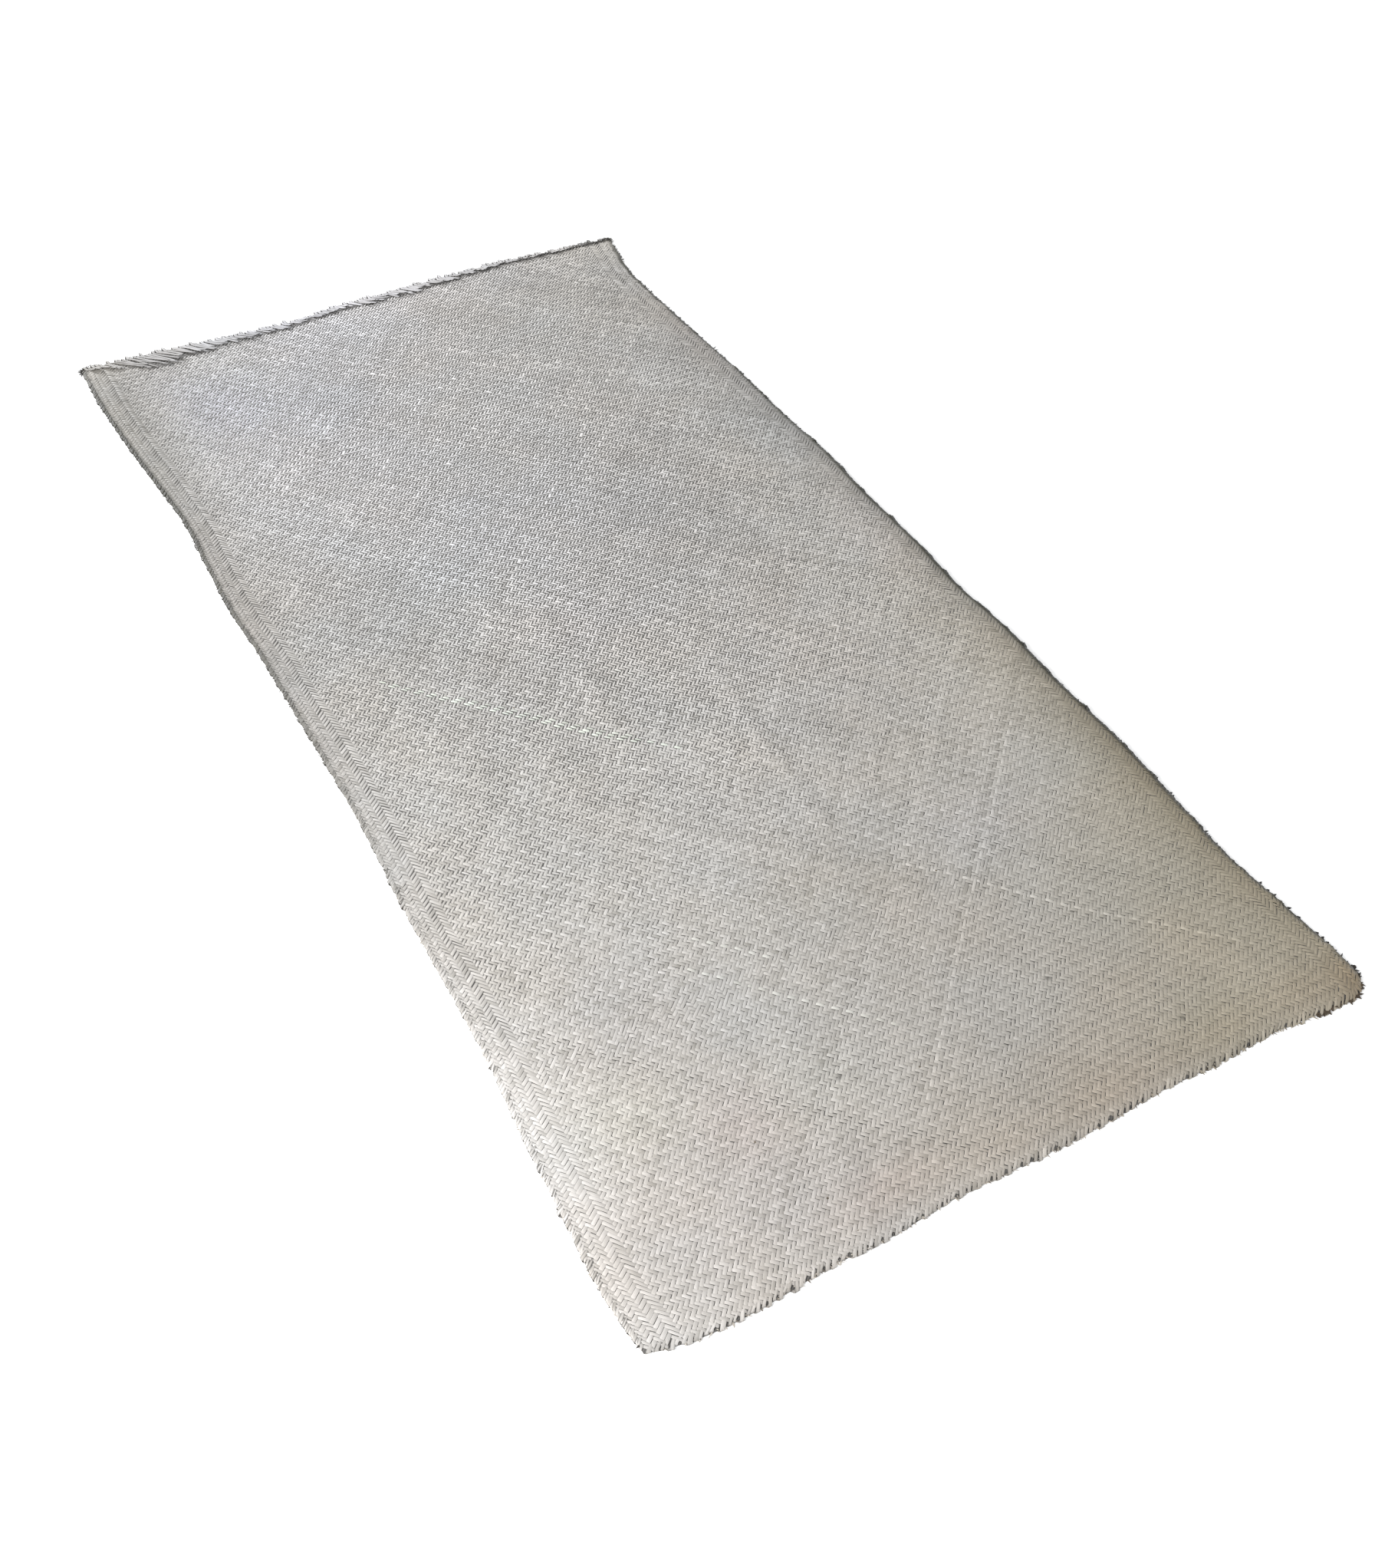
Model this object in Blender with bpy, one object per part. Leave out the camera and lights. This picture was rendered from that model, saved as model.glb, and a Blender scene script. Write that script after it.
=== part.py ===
"""A plaited rattan meditation mat, about 0.90 m wide and 1.80 m long, lying on a floor.

The mat is one plaited sheet with an uneven outline. Most of it lies flat. Its right side arches
a little way off the floor and turns down to it again at the edge, and the right half of its near
edge does the same on a smaller scale, so the near right corner is round from every side.
Along the far edge the ends of the strands are turned back over the sheet and lie on it as a comb
of loose ends, which run down and to the right at half a right angle.

X runs across the mat, Y runs along it from the near edge to the far edge, and Z is up. The origin
is on the floor under the middle of the mat. Every size is in metres.
"""

import math

import bmesh
import bpy
import numpy as np

# The sheet
WIDTH = 0.900
LENGTH = 1.796
THICKNESS = 0.0028
CORNER_RADIUS = 0.036

# How far each edge lies inside the full width or length, as (place, inset).
# The long edges are given by the distance from the near end, the short ones by the distance
# from the left side.
LEFT_INSET = (
    (0.000, 0.008),
    (0.060, 0.002),
    (0.160, 0.005),
    (0.250, 0.009),
    (0.350, 0.016),
    (0.450, 0.018),
    (0.600, 0.020),
    (0.710, 0.025),
    (0.850, 0.025),
    (0.950, 0.023),
    (1.050, 0.021),
    (1.150, 0.016),
    (1.250, 0.018),
    (1.380, 0.021),
    (1.440, 0.016),
    (1.540, 0.008),
    (1.640, 0.002),
    (1.700, 0.000),
    (1.796, 0.001),
)
RIGHT_INSET = (
    (0.000, 0.001),
    (0.060, 0.003),
    (0.160, 0.009),
    (0.210, 0.013),
    (0.300, 0.009),
    (0.420, 0.003),
    (0.550, 0.005),
    (0.660, 0.001),
    (0.750, 0.007),
    (0.850, 0.003),
    (1.000, 0.004),
    (1.090, 0.000),
    (1.200, 0.005),
    (1.340, 0.006),
    (1.440, 0.011),
    (1.540, 0.015),
    (1.630, 0.018),
    (1.700, 0.016),
    (1.750, 0.006),
    (1.796, 0.000),
)
NEAR_INSET = (
    (0.000, 0.014),
    (0.040, 0.004),
    (0.100, 0.000),
    (0.150, 0.002),
    (0.200, 0.005),
    (0.250, 0.003),
    (0.350, 0.008),
    (0.450, 0.005),
    (0.530, 0.005),
    (0.600, 0.008),
    (0.680, 0.006),
    (0.750, 0.008),
    (0.850, 0.001),
    (0.900, 0.000),
)
FAR_INSET = (
    (0.000, 0.012),
    (0.100, 0.013),
    (0.200, 0.019),
    (0.300, 0.023),
    (0.350, 0.020),
    (0.400, 0.013),
    (0.500, 0.008),
    (0.600, 0.003),
    (0.700, 0.000),
    (0.800, 0.006),
    (0.900, 0.008),
)

# The arch along the right side: its height, as (distance from the near end, height).
RIGHT_ARCH = (
    (0.000, 0.005),
    (0.120, 0.011),
    (0.300, 0.015),
    (0.600, 0.018),
    (0.900, 0.017),
    (1.200, 0.013),
    (1.450, 0.007),
    (1.600, 0.002),
    (1.700, 0.000),
    (1.796, 0.000),
)
RIGHT_ARCH_REACH = 0.200
RIGHT_TURN_RADIUS = 0.030

# The arch along the near edge, as (distance from the left side, height).
NEAR_ARCH = (
    (0.000, 0.000),
    (0.300, 0.000),
    (0.450, 0.002),
    (0.700, 0.004),
    (0.850, 0.005),
    (0.900, 0.005),
)
NEAR_ARCH_REACH = 0.120
NEAR_TURN_REACH = 0.022
SIDE_TURN_REACH = 0.034

# Soft ridges where the sheet stands a little off the floor, as (x and y of one end, x and y of
# the other end, half width, height).
RIDGES = (
    (0.050, -0.420, 0.066, -0.120, 0.020, 0.0016),
    (-0.090, -0.260, -0.076, 0.130, 0.024, 0.0012),
    (-0.428, -0.560, -0.424, -0.330, 0.034, 0.0020),
    (-0.430, 0.150, -0.428, 0.420, 0.030, 0.0018),
    (-0.300, -0.100, -0.120, 0.080, 0.030, 0.0010),
    (0.060, 0.240, 0.230, 0.400, 0.034, 0.0012),
    (-0.200, -0.880, -0.170, -0.790, 0.030, 0.0014),
)

# The grid of points on each face of the sheet: even columns and rows, with closer ones where
# the right side and the near edge turn down.
FLAT_COLUMNS = 22
ARCH_COLUMNS = 6
TURN_COLUMNS = 6
FLAT_ROWS = 42
TURN_ROWS = 4

# The turned back ends along the far edge
GAP = 0.0003
END_PITCH = 0.0060
END_WIDTH = 0.0034
END_THICKNESS = 0.0014
END_ANGLE = math.radians(45)
BACKING_MARGIN = 0.004
BACKING_SETBACK = 0.0008
FIRST_END = 0.046
LAST_END = 0.790
LIFT_SEED = 11
MOST_LIFT = 0.0024

# Of the turned back strip, as (distance from the left side, depth of the closed part, reach of
# the loose ends past it).
TURNED_BACK = (
    (0.000, 0.008, 0.006),
    (0.040, 0.012, 0.012),
    (0.060, 0.020, 0.024),
    (0.100, 0.022, 0.020),
    (0.180, 0.014, 0.014),
    (0.260, 0.011, 0.012),
    (0.360, 0.008, 0.010),
    (0.460, 0.010, 0.014),
    (0.560, 0.010, 0.013),
    (0.640, 0.007, 0.010),
    (0.720, 0.005, 0.007),
    (0.800, 0.004, 0.004),
    (0.900, 0.003, 0.003),
)

# Colours, as linear red, green and blue
MAT_COLOUR = (0.50, 0.475, 0.43)
ENDS_COLOUR = (0.55, 0.525, 0.48)
RATTAN_ROUGHNESS = 0.62


def clear_scene():
    for old in list(bpy.data.objects):
        bpy.data.objects.remove(old, do_unlink=True)


def rattan(name, colour):
    material = bpy.data.materials.new(name)
    material.use_nodes = True
    shader = material.node_tree.nodes["Principled BSDF"]
    shader.inputs["Base Color"].default_value = (*colour, 1.0)
    shader.inputs["Roughness"].default_value = RATTAN_ROUGHNESS
    shader.inputs["Metallic"].default_value = 0.0
    return material


def through(table, at, column=1):
    """A smooth curve through one column of a table whose first column is the place."""
    rows = np.array(table)
    places = rows[:, 0]
    values = rows[:, column]
    slopes = np.gradient(values, places)
    at = np.clip(at, places[0], places[-1])
    low = np.clip(np.searchsorted(places, at, side="right") - 1, 0, len(places) - 2)
    span = places[low + 1] - places[low]
    part = (at - places[low]) / span
    start = (1 + 2 * part) * (1 - part) ** 2 * values[low]
    start += part * (1 - part) ** 2 * span * slopes[low]
    end = part**2 * (3 - 2 * part) * values[low + 1]
    end += part**2 * (part - 1) * span * slopes[low + 1]
    return start + end


def fall_off(distance, reach):
    """1 at no distance, 0 from the reach on, and level at both."""
    part = np.clip(distance / reach, 0, 1)
    return 1 - part**2 * (3 - 2 * part)


def rise_from_edge(distance, reach):
    """0 at the edge, 1 from the reach on, steepest at the edge."""
    part = np.clip(distance / reach, 0, 1)
    return 1 - (1 - part) ** 2


def turned_down(inward, height, radius):
    """A sheet that drops through the height to its edge, on an arc of the radius.

    inward is the distance from the edge along the sheet. Gives that distance as seen from
    above, and how far the sheet has dropped there.
    """
    full = np.arccos(1 - height / radius)
    left = np.maximum(full - inward / radius, 0)
    drop = radius * (1 - np.cos(left))
    on_arc = radius * (np.sin(full) - np.sin(left))
    past_arc = inward - radius * full + radius * np.sin(full)
    return np.where(left > 0, on_arc, past_arc), drop


def rounded_corner(from_right):
    """How far the round near right corner sets the near edge back."""
    part = np.clip(1 - from_right / CORNER_RADIUS, 0, 1)
    return CORNER_RADIUS * (1 - np.sqrt(1 - part**2))


def ridges(x, y):
    """The height that the soft ridges add."""
    height = np.zeros_like(x)
    for x1, y1, x2, y2, half_width, most in RIDGES:
        run = np.array((x2 - x1, y2 - y1))
        along = ((x - x1) * run[0] + (y - y1) * run[1]) / run.dot(run)
        along = np.clip(along, 0, 1)
        away = np.hypot(x - x1 - along * run[0], y - y1 - along * run[1])
        height += most * np.clip(1 - (away / half_width) ** 2, 0, None) ** 2
    return height


def underside(from_left, from_near):
    """Points of the sheet's underside, from distances along the flat sheet."""
    left = through(LEFT_INSET, from_near)
    right = through(RIGHT_INSET, from_near)
    arch = np.maximum(through(RIGHT_ARCH, from_near), 0)
    inward = WIDTH - from_left
    # The upper side leans out past the underside's edge by this much.
    right += THICKNESS * np.sin(np.arccos(1 - arch / RIGHT_TURN_RADIUS))
    seen, drop = turned_down(inward, arch, RIGHT_TURN_RADIUS)
    at_left = turned_down(WIDTH, arch, RIGHT_TURN_RADIUS)[0]
    x = WIDTH / 2 - right - seen * (WIDTH - left - right) / at_left

    near = through(NEAR_INSET, from_left) + rounded_corner(inward)
    far = through(FAR_INSET, from_left)
    y = -LENGTH / 2 + near + from_near * (LENGTH - near - far) / LENGTH

    near_rise = rise_from_edge(from_near, NEAR_TURN_REACH)
    side_rise = rise_from_edge(inward, SIDE_TURN_REACH)
    side_arch = (arch * fall_off(inward, RIGHT_ARCH_REACH) - drop) * near_rise
    near_arch = np.maximum(through(NEAR_ARCH, from_left), 0)
    near_arch = near_arch * fall_off(from_near, NEAR_ARCH_REACH)
    z = side_arch + near_arch * near_rise * side_rise + ridges(x, y)
    return np.stack((x, y, np.maximum(z, 0)), axis=-1)


def upper_side(points):
    """The points one thickness above a grid of points, square to the surface."""
    across = np.gradient(points, axis=1)
    along = np.gradient(points, axis=0)
    normals = np.cross(across, along)
    normals /= np.linalg.norm(normals, axis=-1, keepdims=True)
    return points + THICKNESS * normals


def grid_places():
    """The distances of the grid's columns and rows from the left and near edges."""
    flat_end = WIDTH - RIGHT_ARCH_REACH
    turn_start = WIDTH - CORNER_RADIUS
    columns = np.concatenate(
        (
            np.linspace(0, flat_end, FLAT_COLUMNS, endpoint=False),
            np.linspace(flat_end, turn_start, ARCH_COLUMNS, endpoint=False),
            np.linspace(turn_start, WIDTH, TURN_COLUMNS + 1),
        )
    )
    rows = np.concatenate(
        (
            np.linspace(0, NEAR_TURN_REACH, TURN_ROWS, endpoint=False),
            np.linspace(NEAR_TURN_REACH, LENGTH, FLAT_ROWS + 1),
        )
    )
    return columns, rows


def add_object(name, bm, material):
    bmesh.ops.recalc_face_normals(bm, faces=bm.faces)
    mesh = bpy.data.meshes.new(name)
    bm.to_mesh(mesh)
    bm.free()
    mesh.materials.append(material)
    made = bpy.data.objects.new(name, mesh)
    bpy.context.scene.collection.objects.link(made)
    return made


def add_sheet():
    """The plaited sheet: two grids of points, joined around their rim."""
    columns, rows = grid_places()
    from_left, from_near = np.meshgrid(columns, rows)
    lower = underside(from_left, from_near)
    upper = upper_side(lower)

    bm = bmesh.new()
    low = [[bm.verts.new(point) for point in row] for row in lower]
    high = [[bm.verts.new(point) for point in row] for row in upper]
    last_row = len(rows) - 1
    last_column = len(columns) - 1
    for i in range(last_row):
        for j in range(last_column):
            bm.faces.new((high[i][j], high[i][j + 1], high[i + 1][j + 1], high[i + 1][j]))
            bm.faces.new((low[i][j], low[i + 1][j], low[i + 1][j + 1], low[i][j + 1]))
    rim = [(0, j) for j in range(last_column)]
    rim += [(i, last_column) for i in range(last_row)]
    rim += [(last_row, j) for j in range(last_column, 0, -1)]
    rim += [(i, 0) for i in range(last_row, 0, -1)]
    for (i, j), (k, m) in zip(rim, rim[1:] + rim[:1]):
        bm.faces.new((low[i][j], low[k][m], high[k][m], high[i][j]))
    return add_object("mat", bm, rattan("plaited_rattan", MAT_COLOUR))


def end_places():
    """The strip's stations from the left side: a loose end's two sides, then the next one's."""
    root = END_WIDTH / math.sin(END_ANGLE)
    count = int((LAST_END - FIRST_END) / END_PITCH)
    places = []
    for k in range(count):
        start = FIRST_END + k * END_PITCH
        places.append((start, start + root))
    return places


def add_turned_ends():
    """The strands' ends, turned back over the far edge: a closed strip with loose ends."""
    chance = np.random.default_rng(LIFT_SEED)
    ends = end_places()
    stations = [BACKING_MARGIN]
    for start, stop in ends:
        stations += [start, stop]
    stations += [WIDTH - 0.06, WIDTH - BACKING_MARGIN]
    stations = np.array(stations)

    base = THICKNESS + GAP
    left = through(LEFT_INSET, LENGTH)
    right = through(RIGHT_INSET, LENGTH)
    x = -WIDTH / 2 + left + stations * (WIDTH - left - right) / WIDTH
    edge = LENGTH / 2 - through(FAR_INSET, stations) - BACKING_SETBACK
    root = edge - through(TURNED_BACK, stations, 1)
    reach = through(TURNED_BACK, stations, 2)

    bm = bmesh.new()

    def pair(px, py, raised=0.0):
        """A lower and an upper point."""
        low = bm.verts.new((px, py, base + raised))
        return low, bm.verts.new((px, py, base + raised + END_THICKNESS))

    outer = [pair(px, py) for px, py in zip(x, edge)]
    inner = [pair(px, py) for px, py in zip(x, root)]

    def slab(*corners):
        """Upper and lower faces over the corners, which run anticlockwise from above."""
        bm.faces.new([high for low, high in corners])
        bm.faces.new([low for low, high in reversed(corners)])

    def wall(first, second):
        bm.faces.new((first[0], second[0], second[1], first[1]))

    for i in range(len(stations) - 1):
        slab(inner[i], inner[i + 1], outer[i + 1], outer[i])
        wall(outer[i + 1], outer[i])
        has_end = i % 2 == 1 and i < 2 * len(ends)
        if not has_end:
            wall(inner[i], inner[i + 1])
            continue
        length = reach[i] * chance.uniform(0.55, 1.15)
        raised = MOST_LIFT * chance.uniform(0, 1) ** 2
        step_x = length * math.cos(END_ANGLE)
        step_y = -length * math.sin(END_ANGLE)
        tip_a = pair(x[i] + step_x, root[i] + step_y, raised)
        tip_b = pair(x[i + 1] + step_x, root[i + 1] + step_y, raised)
        slab(tip_a, tip_b, inner[i + 1], inner[i])
        wall(inner[i], tip_a)
        wall(tip_a, tip_b)
        wall(tip_b, inner[i + 1])
    wall(outer[0], inner[0])
    wall(inner[-1], outer[-1])
    return add_object("turned_ends", bm, rattan("strand_ends", ENDS_COLOUR))


clear_scene()
add_sheet()
add_turned_ends()
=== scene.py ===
"""The looks of a plaited rattan meditation mat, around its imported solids.

The mat is plaited at half a right angle to its sides, each strand going over two and under two.
Every stretch of strand that lies on top is a crowned ribbon of its own, which dips under its
neighbours at both ends. They stand on a thin closed sheet that follows the solid's shape.
Sizes are in metres. X runs across the mat, Y along it and Z is up, as in the solids.
"""

import math

import bpy
import numpy as np
from mathutils import Matrix, Vector


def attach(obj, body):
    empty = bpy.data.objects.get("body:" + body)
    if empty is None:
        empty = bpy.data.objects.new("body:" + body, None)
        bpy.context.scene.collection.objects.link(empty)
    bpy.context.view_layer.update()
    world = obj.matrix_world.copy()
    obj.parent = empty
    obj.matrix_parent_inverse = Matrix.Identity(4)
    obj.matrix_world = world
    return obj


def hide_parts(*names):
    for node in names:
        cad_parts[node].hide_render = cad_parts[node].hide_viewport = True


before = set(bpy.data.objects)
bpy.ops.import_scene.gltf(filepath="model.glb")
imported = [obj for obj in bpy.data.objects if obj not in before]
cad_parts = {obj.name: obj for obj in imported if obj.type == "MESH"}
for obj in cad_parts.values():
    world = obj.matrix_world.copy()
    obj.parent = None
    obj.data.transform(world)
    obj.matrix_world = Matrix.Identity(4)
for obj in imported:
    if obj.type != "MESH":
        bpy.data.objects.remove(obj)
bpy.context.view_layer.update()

# The sheet, as in the solids
WIDTH = 0.900
LENGTH = 1.796
THICKNESS = 0.0028
CORNER_RADIUS = 0.036
LEFT_INSET = (
    (0.0, 0.008), (0.06, 0.002), (0.16, 0.005), (0.25, 0.009), (0.35, 0.016), (0.45, 0.018),
    (0.6, 0.02), (0.71, 0.025), (0.85, 0.025), (0.95, 0.023), (1.05, 0.021), (1.15, 0.016),
    (1.25, 0.018), (1.38, 0.021), (1.44, 0.016), (1.54, 0.008), (1.64, 0.002), (1.7, 0.0),
    (1.796, 0.001),
)
RIGHT_INSET = (
    (0.0, 0.001), (0.06, 0.003), (0.16, 0.009), (0.21, 0.013), (0.3, 0.009), (0.42, 0.003),
    (0.55, 0.005), (0.66, 0.001), (0.75, 0.007), (0.85, 0.003), (1.0, 0.004), (1.09, 0.0), (1.2, 0.005),
    (1.34, 0.006), (1.44, 0.011), (1.54, 0.015), (1.63, 0.018), (1.7, 0.016), (1.75, 0.006),
    (1.796, 0.0),
)
NEAR_INSET = (
    (0.0, 0.014), (0.04, 0.004), (0.1, 0.0), (0.15, 0.002), (0.2, 0.005), (0.25, 0.003), (0.35, 0.008),
    (0.45, 0.005), (0.53, 0.005), (0.6, 0.008), (0.68, 0.006), (0.75, 0.008), (0.85, 0.001), (0.9, 0.0),
)
FAR_INSET = (
    (0.0, 0.012), (0.1, 0.013), (0.2, 0.019), (0.3, 0.023), (0.35, 0.02), (0.4, 0.013), (0.5, 0.008),
    (0.6, 0.003), (0.7, 0.0), (0.8, 0.006), (0.9, 0.008),
)
RIGHT_ARCH = (
    (0.0, 0.005), (0.12, 0.011), (0.3, 0.015), (0.6, 0.018), (0.9, 0.017), (1.2, 0.013), (1.45, 0.007),
    (1.6, 0.002), (1.7, 0.0), (1.796, 0.0),
)
RIGHT_ARCH_REACH = 0.200
RIGHT_TURN_RADIUS = 0.030
NEAR_ARCH = (
    (0.0, 0.0), (0.3, 0.0), (0.45, 0.002), (0.7, 0.004), (0.85, 0.005), (0.9, 0.005),
)
NEAR_ARCH_REACH = 0.120
NEAR_TURN_REACH = 0.022
SIDE_TURN_REACH = 0.034
RIDGES = (
    (0.05, -0.42, 0.066, -0.12, 0.02, 0.0016), (-0.09, -0.26, -0.076, 0.13, 0.024, 0.0012),
    (-0.428, -0.56, -0.424, -0.33, 0.034, 0.002), (-0.43, 0.15, -0.428, 0.42, 0.03, 0.0018),
    (-0.3, -0.1, -0.12, 0.08, 0.03, 0.001), (0.06, 0.24, 0.23, 0.4, 0.034, 0.0012),
    (-0.2, -0.88, -0.17, -0.79, 0.03, 0.0014),
)
TURNED_BACK = (
    (0.0, 0.008, 0.006), (0.04, 0.012, 0.012), (0.06, 0.02, 0.024), (0.1, 0.022, 0.02),
    (0.18, 0.014, 0.014), (0.26, 0.011, 0.012), (0.36, 0.008, 0.01), (0.46, 0.01, 0.014),
    (0.56, 0.01, 0.013), (0.64, 0.007, 0.01), (0.72, 0.005, 0.007), (0.8, 0.004, 0.004),
    (0.9, 0.003, 0.003),
)

# The plaiting. Places in it are counted in half steps: a strand's crossings lie one half step
# apart both across and along the mat.
ACROSS = 300
ALONG = 598
BORDER = 15
# Where in the borders, counted from the side, the strand that rises to the right is on top
RISING_COLUMNS = (0, 1, 4, 5, 8, 9, 10, 14)
BAND_START = 106
BAND_STOP = 112
REPEAT = 4
FLOAT = 2
ZONES = 4

# One stretch of strand on top, in strand widths along it and metres up from the underside
TUCK = 0.20
SHOULDER = 0.24
CROWN_HEIGHT = 0.0027
TUCK_HEIGHT = 0.0015
EDGE_DROP = 0.00080
TUCK_EDGE_DROP = 0.00020
HALF_WIDTH = 0.48
TUCK_HALF_WIDTH = 0.43
# How much each stretch's shoulders, width and height vary, and what is left out by the corner
SHOULDER_VARIES = 0.03
WIDTH_VARIES = 0.025
HEIGHT_VARIES = 0.00009
KEPT_FROM_EDGE = 0.001
# How much the strands vary in tone and width, and in how dark their gaps are
STRAND_TONE = 0.085
STRAND_DRIFT = 0.065
DRIFT_WAVES = (3.0, 8.0)
STRAND_NARROWER = 0.055
THIN_SHARE = 0.05
THIN_WIDTH = 0.86
FIBRES_APART = 50
STRAND_GAP = 0.07
STRAND_GAP_DRIFT = 0.13
GAP_WAVES = 6.5
# Their middle tone, how far the two sets lie from it as painted sheen that differs between the two
# directions, and how much each stretch varies. It varies less where the gaps are strong, and again
# where they are faint.
TONE = 0.525
TONE_APART = 0.010
RISING_UNEVEN = 0.07
FALLING_UNEVEN = 0.09
EVEN_FROM = 0.8
CALM_FROM = 0.62
CALMEST = 0.45
MARK_PALER = 0.15
# Dirt and painted shade in the dips and beside the edges. Where stains and painted shade darken the
# strands, it fades.
DARK_STAIN_AND_SHADE = 0.5
SHOULDER_DIRT_AND_SHADE = 0.20
EDGE_DIRT_AND_SHADE_VARIES = 0.09
TUCK_DIRT_AND_SHADE = 0.78
EDGE_DIRT_AND_SHADE = 1.00
FLAT_EDGE_DIRT_AND_SHADE = 0.88
# Near the sides, within this many crossings, the dirt and painted shade keep this share, and the gaps
# this share of their strength
FAINTER_BORDER = 8
BORDER_DIRT_AND_SHADE = 0.72
BORDER_PALER = 0.25
# How strong the dark gaps between strands are, as dirt and painted shade, by distance from the near
# edge: at the left side, in the middle and at the right side
GAPS = (
    (0.0, 0.58, 0.45, 0.3), (0.15, 0.6, 0.4, 0.27), (0.3, 0.72, 0.52, 0.31), (0.5, 0.93, 0.88, 0.52),
    (0.7, 1.04, 1.26, 0.9), (0.95, 1.16, 1.66, 0.98), (1.3, 1.2, 2.2, 1.06), (1.6, 1.0, 2.2, 1.22),
    (1.796, 0.9, 2.1, 1.3),
)
TUCK_SHARE = 0.35
# How much paler the strands are painted where the gaps are stronger, as painted light on their crowns,
# and duller where they are weaker
PALER = 0.76
DULLER = 0.15
# Painted shadow on the plaiting under the turned-back ends, as what its colour is multiplied by, by
# distance from the left side
UNDER_ENDS = (
    (0.0, 0.96), (0.045, 0.93), (0.085, 0.56), (0.225, 0.56), (0.675, 0.3), (0.9, 0.3),
)

# How far the rows wander: most across and along, waves a metre across and along, and phase
WANDER = (
    (0.0012, 0.0008, 2.3, 1.3, 0.4), (0.0008, 0.001, -3.1, 4.7, 2.0), (0.0005, 0.0006, 9.0, 7.0, 4.4),
    (0.0003, 0.0004, -14.0, 17.0, 1.1),
)
WANDER_EDGE = 0.040
WANDER_SKEW = 0.9

# Strands that stand out: whether the strand rises to the right, its number, the crossings across the
# mat where that starts and stops, and what its tone, green and height gain. Paired pale and dark ones
# paint the light and shade on the two sides of a crease.
MARKED_STRANDS = (
    (False, 154, 180, 272, 0.16, 0.0, 0.0001), (False, 153, 180, 272, -0.12, 0.0, 0.0),
    (False, 176, 42, 120, 0.46, 0.07, 0.0002), (False, 177, 38, 132, 0.34, 0.07, 0.00015),
    (False, 178, 66, 120, 0.1, 0.05, 0.0001), (False, 102, 82, 138, 0.36, 0.02, 0.00015),
    (False, 112, 88, 110, 0.26, 0.02, 0.0001), (False, 128, 120, 190, 0.14, 0.0, 0.0001),
    (False, 203, 70, 150, 0.16, 0.02, 0.0001), (True, -47, 128, 262, 0.1, 0.0, 0.0001),
    (True, -45, 128, 262, -0.12, 0.0, 0.0), (True, -20, 60, 110, -0.3, 0.0, 0.0),
    (True, 12, 20, 60, -0.25, 0.0, 0.0), (True, 118, 40, 130, -0.22, 0.0, 0.0),
    (True, 150, 20, 80, -0.26, 0.0, 0.0), (True, 86, 90, 170, -0.24, 0.0, 0.0),
    (True, 60, 110, 180, 0.2, 0.0, 0.0),
)

# Creases in the plaiting: where each starts and stops in x and y, half its width, its height and how
# much paler its crest is painted as light falling on it; below 0 it is painted darker
CREASES = (
    (0.09, -0.514, 0.366, -0.79, 0.0036, 0.0008, 0.08),
    (-0.066, -0.796, 0.336, -0.393, 0.0034, 0.0005, 0.04),
    (-0.3, 0.18, -0.05, 0.43, 0.003, 0.0003, -0.1), (0.23, 0.56, 0.3, 0.63, 0.0026, 0.0003, -0.16),
    (-0.17, 0.33, -0.12, 0.38, 0.0026, 0.0003, -0.16),
)

# Swellings beside the right edge: wave lengths and their shares, height, and where they lie
BUMP_WAVES = (
    (0.043, 1.0), (0.071, 1.0), (0.0187, 0.8), (0.0121, 0.5),
)
BUMP_HEIGHT = 0.0010
BUMPS_AT = 0.009
BUMPS_REACH = 0.016
BUMP_PHASE = 1000

# The thin sheet under the strands
CORE_HEIGHT = 0.0015
CORE_LOW = 0.0001
CORE_LEAST = 0.0004
CORE_INSET = 0.0008
# Its grid, which is finer by the right side and the near edge
CORE_COLUMNS = 80
CORE_FINE = 31
CORE_FINE_SIDE = 0.08
CORE_ROWS = 181
CORE_FINE_ROWS = 20
CORE_FINE_NEAR = 0.05
CORE_CORNER = 0.20
# The share of the flat map's width that one face of it has
MAP_HALF = 0.49

# Camera, from the photograph's perspective
CAMERA_PLACE = (-0.7828, -1.4702, 1.4523)
CAMERA_TURN = math.radians(31.436)
CAMERA_DOWN = math.radians(46.3225)
CAMERA_ROLL = math.radians(2.760)
LENS_MM = 38.924
SENSOR_MM = 36.0

SEED = 21
chance = np.random.default_rng(SEED)

# A ribbon's lanes, from its left edge to its right one
LANES = np.array((-1.0, 0.0, 1.0))
# How many points the ribbon of one stretch of strand has
STRETCH_POINTS = 12


# Shape of the sheet


def through(table, at, column=1):
    """A smooth curve through one column of a table whose first column is the place."""
    rows = np.array(table)
    places = rows[:, 0]
    values = rows[:, column]
    slopes = np.gradient(values, places)
    at = np.clip(at, places[0], places[-1])
    low = np.clip(np.searchsorted(places, at, side="right") - 1, 0, len(places) - 2)
    span = places[low + 1] - places[low]
    part = (at - places[low]) / span
    start = (1 + 2 * part) * (1 - part) ** 2 * values[low]
    start += part * (1 - part) ** 2 * span * slopes[low]
    end = part**2 * (3 - 2 * part) * values[low + 1]
    end += part**2 * (part - 1) * span * slopes[low + 1]
    return start + end


def fall_off(distance, reach):
    """From 1 at no distance smoothly down to 0 at the reach."""
    part = np.clip(distance / reach, 0, 1)
    return 1 - part**2 * (3 - 2 * part)


def rise_from_edge(distance, reach):
    """From 0 at the edge on an arc up to 1 at the reach."""
    part = np.clip(distance / reach, 0, 1)
    return 1 - (1 - part) ** 2


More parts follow.
